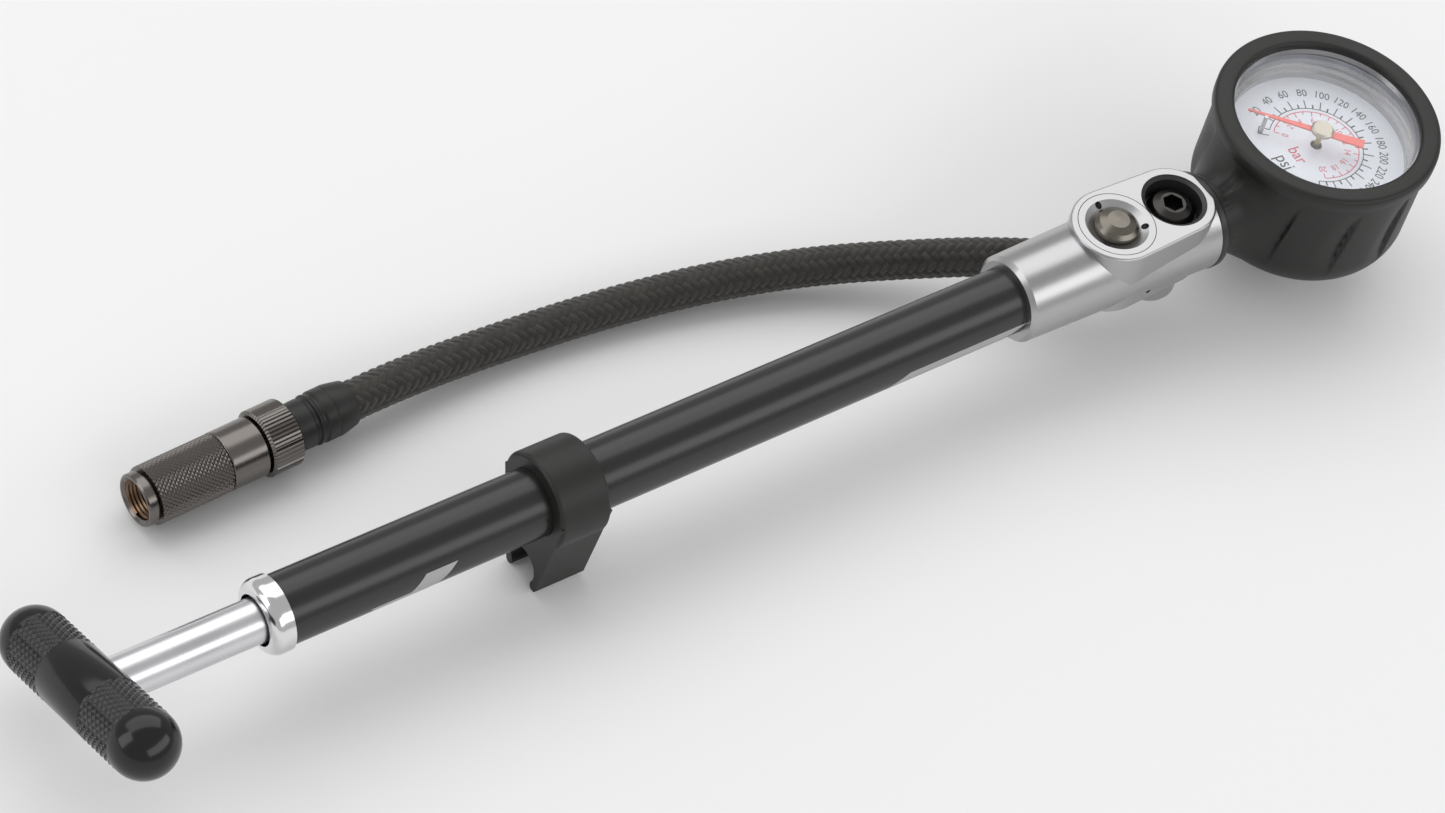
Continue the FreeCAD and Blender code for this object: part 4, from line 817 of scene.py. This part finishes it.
def printed_layer(name, marks, ink):
    """Join the marks of one ink and lay them on the dial."""
    deselect()
    for mark in marks:
        mark.select_set(True)
    bpy.context.view_layer.objects.active = marks[0]
    bpy.ops.object.join()
    layer = bpy.context.object
    layer.name = name
    applied(layer, "SOLIDIFY", thickness=0.02 * mm, offset=1.0)
    place = dial_centre + Vector((0.0, 0.0, ink_rise - 0.02 * mm))
    return set_down(layer, place, (0.0, 0.0, 1.0), ink, "root", "dial_white")


black_marks = [arc(10.1 * mm, 10.3 * mm, scale_turn(0), scale_turn(300))]
for psi in range(20, 301, 10):
    major = psi % 20 == 0
    black_marks.append(stroke(10.2 * mm, (12.5 if major else 11.3) * mm, scale_turn(psi),
                              (0.24 if major else 0.34) * mm))
for psi in range(20, 301, 20):
    black_marks.append(label(str(psi), 2.75 * mm, 14.5 * mm, scale_turn(psi), scale_turn(psi)))
black_marks.append(label("psi", 4.4 * mm, 9.6 * mm, math.pi * 1.03, -0.1))
zero_box = [stroke(10.2 * mm, 12.6 * mm, scale_turn(0) - 0.02, 0.24 * mm),
            stroke(10.2 * mm, 12.6 * mm, scale_turn(0) + 0.14, 0.24 * mm),
            stroke(12.4 * mm, 12.6 * mm, scale_turn(0) + 0.06, 2.0 * mm)]
printed_layer("dial_print_black", black_marks + zero_box, black_ink)

red_marks = [arc(9.15 * mm, 9.35 * mm, scale_turn(0), scale_turn(20 * bar_in_psi))]
for bar in range(21):
    inner = (8.0 if bar % 2 == 0 else 8.5) * mm
    red_marks.append(stroke(inner, 9.25 * mm, scale_turn(bar * bar_in_psi), 0.2 * mm))
for bar in range(0, 21, 2):
    turn = scale_turn(bar * bar_in_psi)
    red_marks.append(label(str(bar), 2.1 * mm, 6.7 * mm, turn, turn))
red_marks.append(label("bar", 4.0 * mm, 5.7 * mm, math.pi * 1.03, -0.1))
printed_layer("dial_print_red", red_marks, red_ink)

# Pointer. Coral painted needle on a nickel hub, under an acrylic lens held by a snap ring.
coral = finish("coral_paint", (0.66, 0.10, 0.085), (0.74, 0.14, 0.12), (0.38, 0.5), scale=900.0,
               patches=90.0, depth=0.000004)
cream_nickel = finish("cream_nickel", (0.40, 0.37, 0.30), (0.46, 0.43, 0.36), (0.3, 0.38), metallic=0.85,
                      scale=1500.0, patches=300.0, depth=0.000004)
dress(coral, "pointer")
dress(cream_nickel, "pointer_hub")


def clear_acrylic():
    """Clear acrylic that lets the light through to the dial."""
    material = finish("clear_acrylic", (1.0, 1.0, 1.0), (1.0, 1.0, 1.0), (0.0, 0.02), scale=40.0,
                      patches=10.0, depth=0.0)
    tree = material.node_tree
    shader = tree.nodes["Principled BSDF"]
    shader.inputs["Transmission Weight"].default_value = 1.0
    shader.inputs["IOR"].default_value = 1.45
    shadow = tree.nodes.new("ShaderNodeLightPath")
    through = tree.nodes.new("ShaderNodeBsdfTransparent")
    mix = tree.nodes.new("ShaderNodeMixShader")
    join = tree.links.new
    join(shadow.outputs["Is Shadow Ray"], mix.inputs["Fac"])
    join(shader.outputs["BSDF"], mix.inputs[1])
    join(through.outputs["BSDF"], mix.inputs[2])
    join(mix.outputs["Shader"], tree.nodes["Material Output"].inputs["Surface"])
    return material


dress(clear_acrylic(), "lens")

deselect()
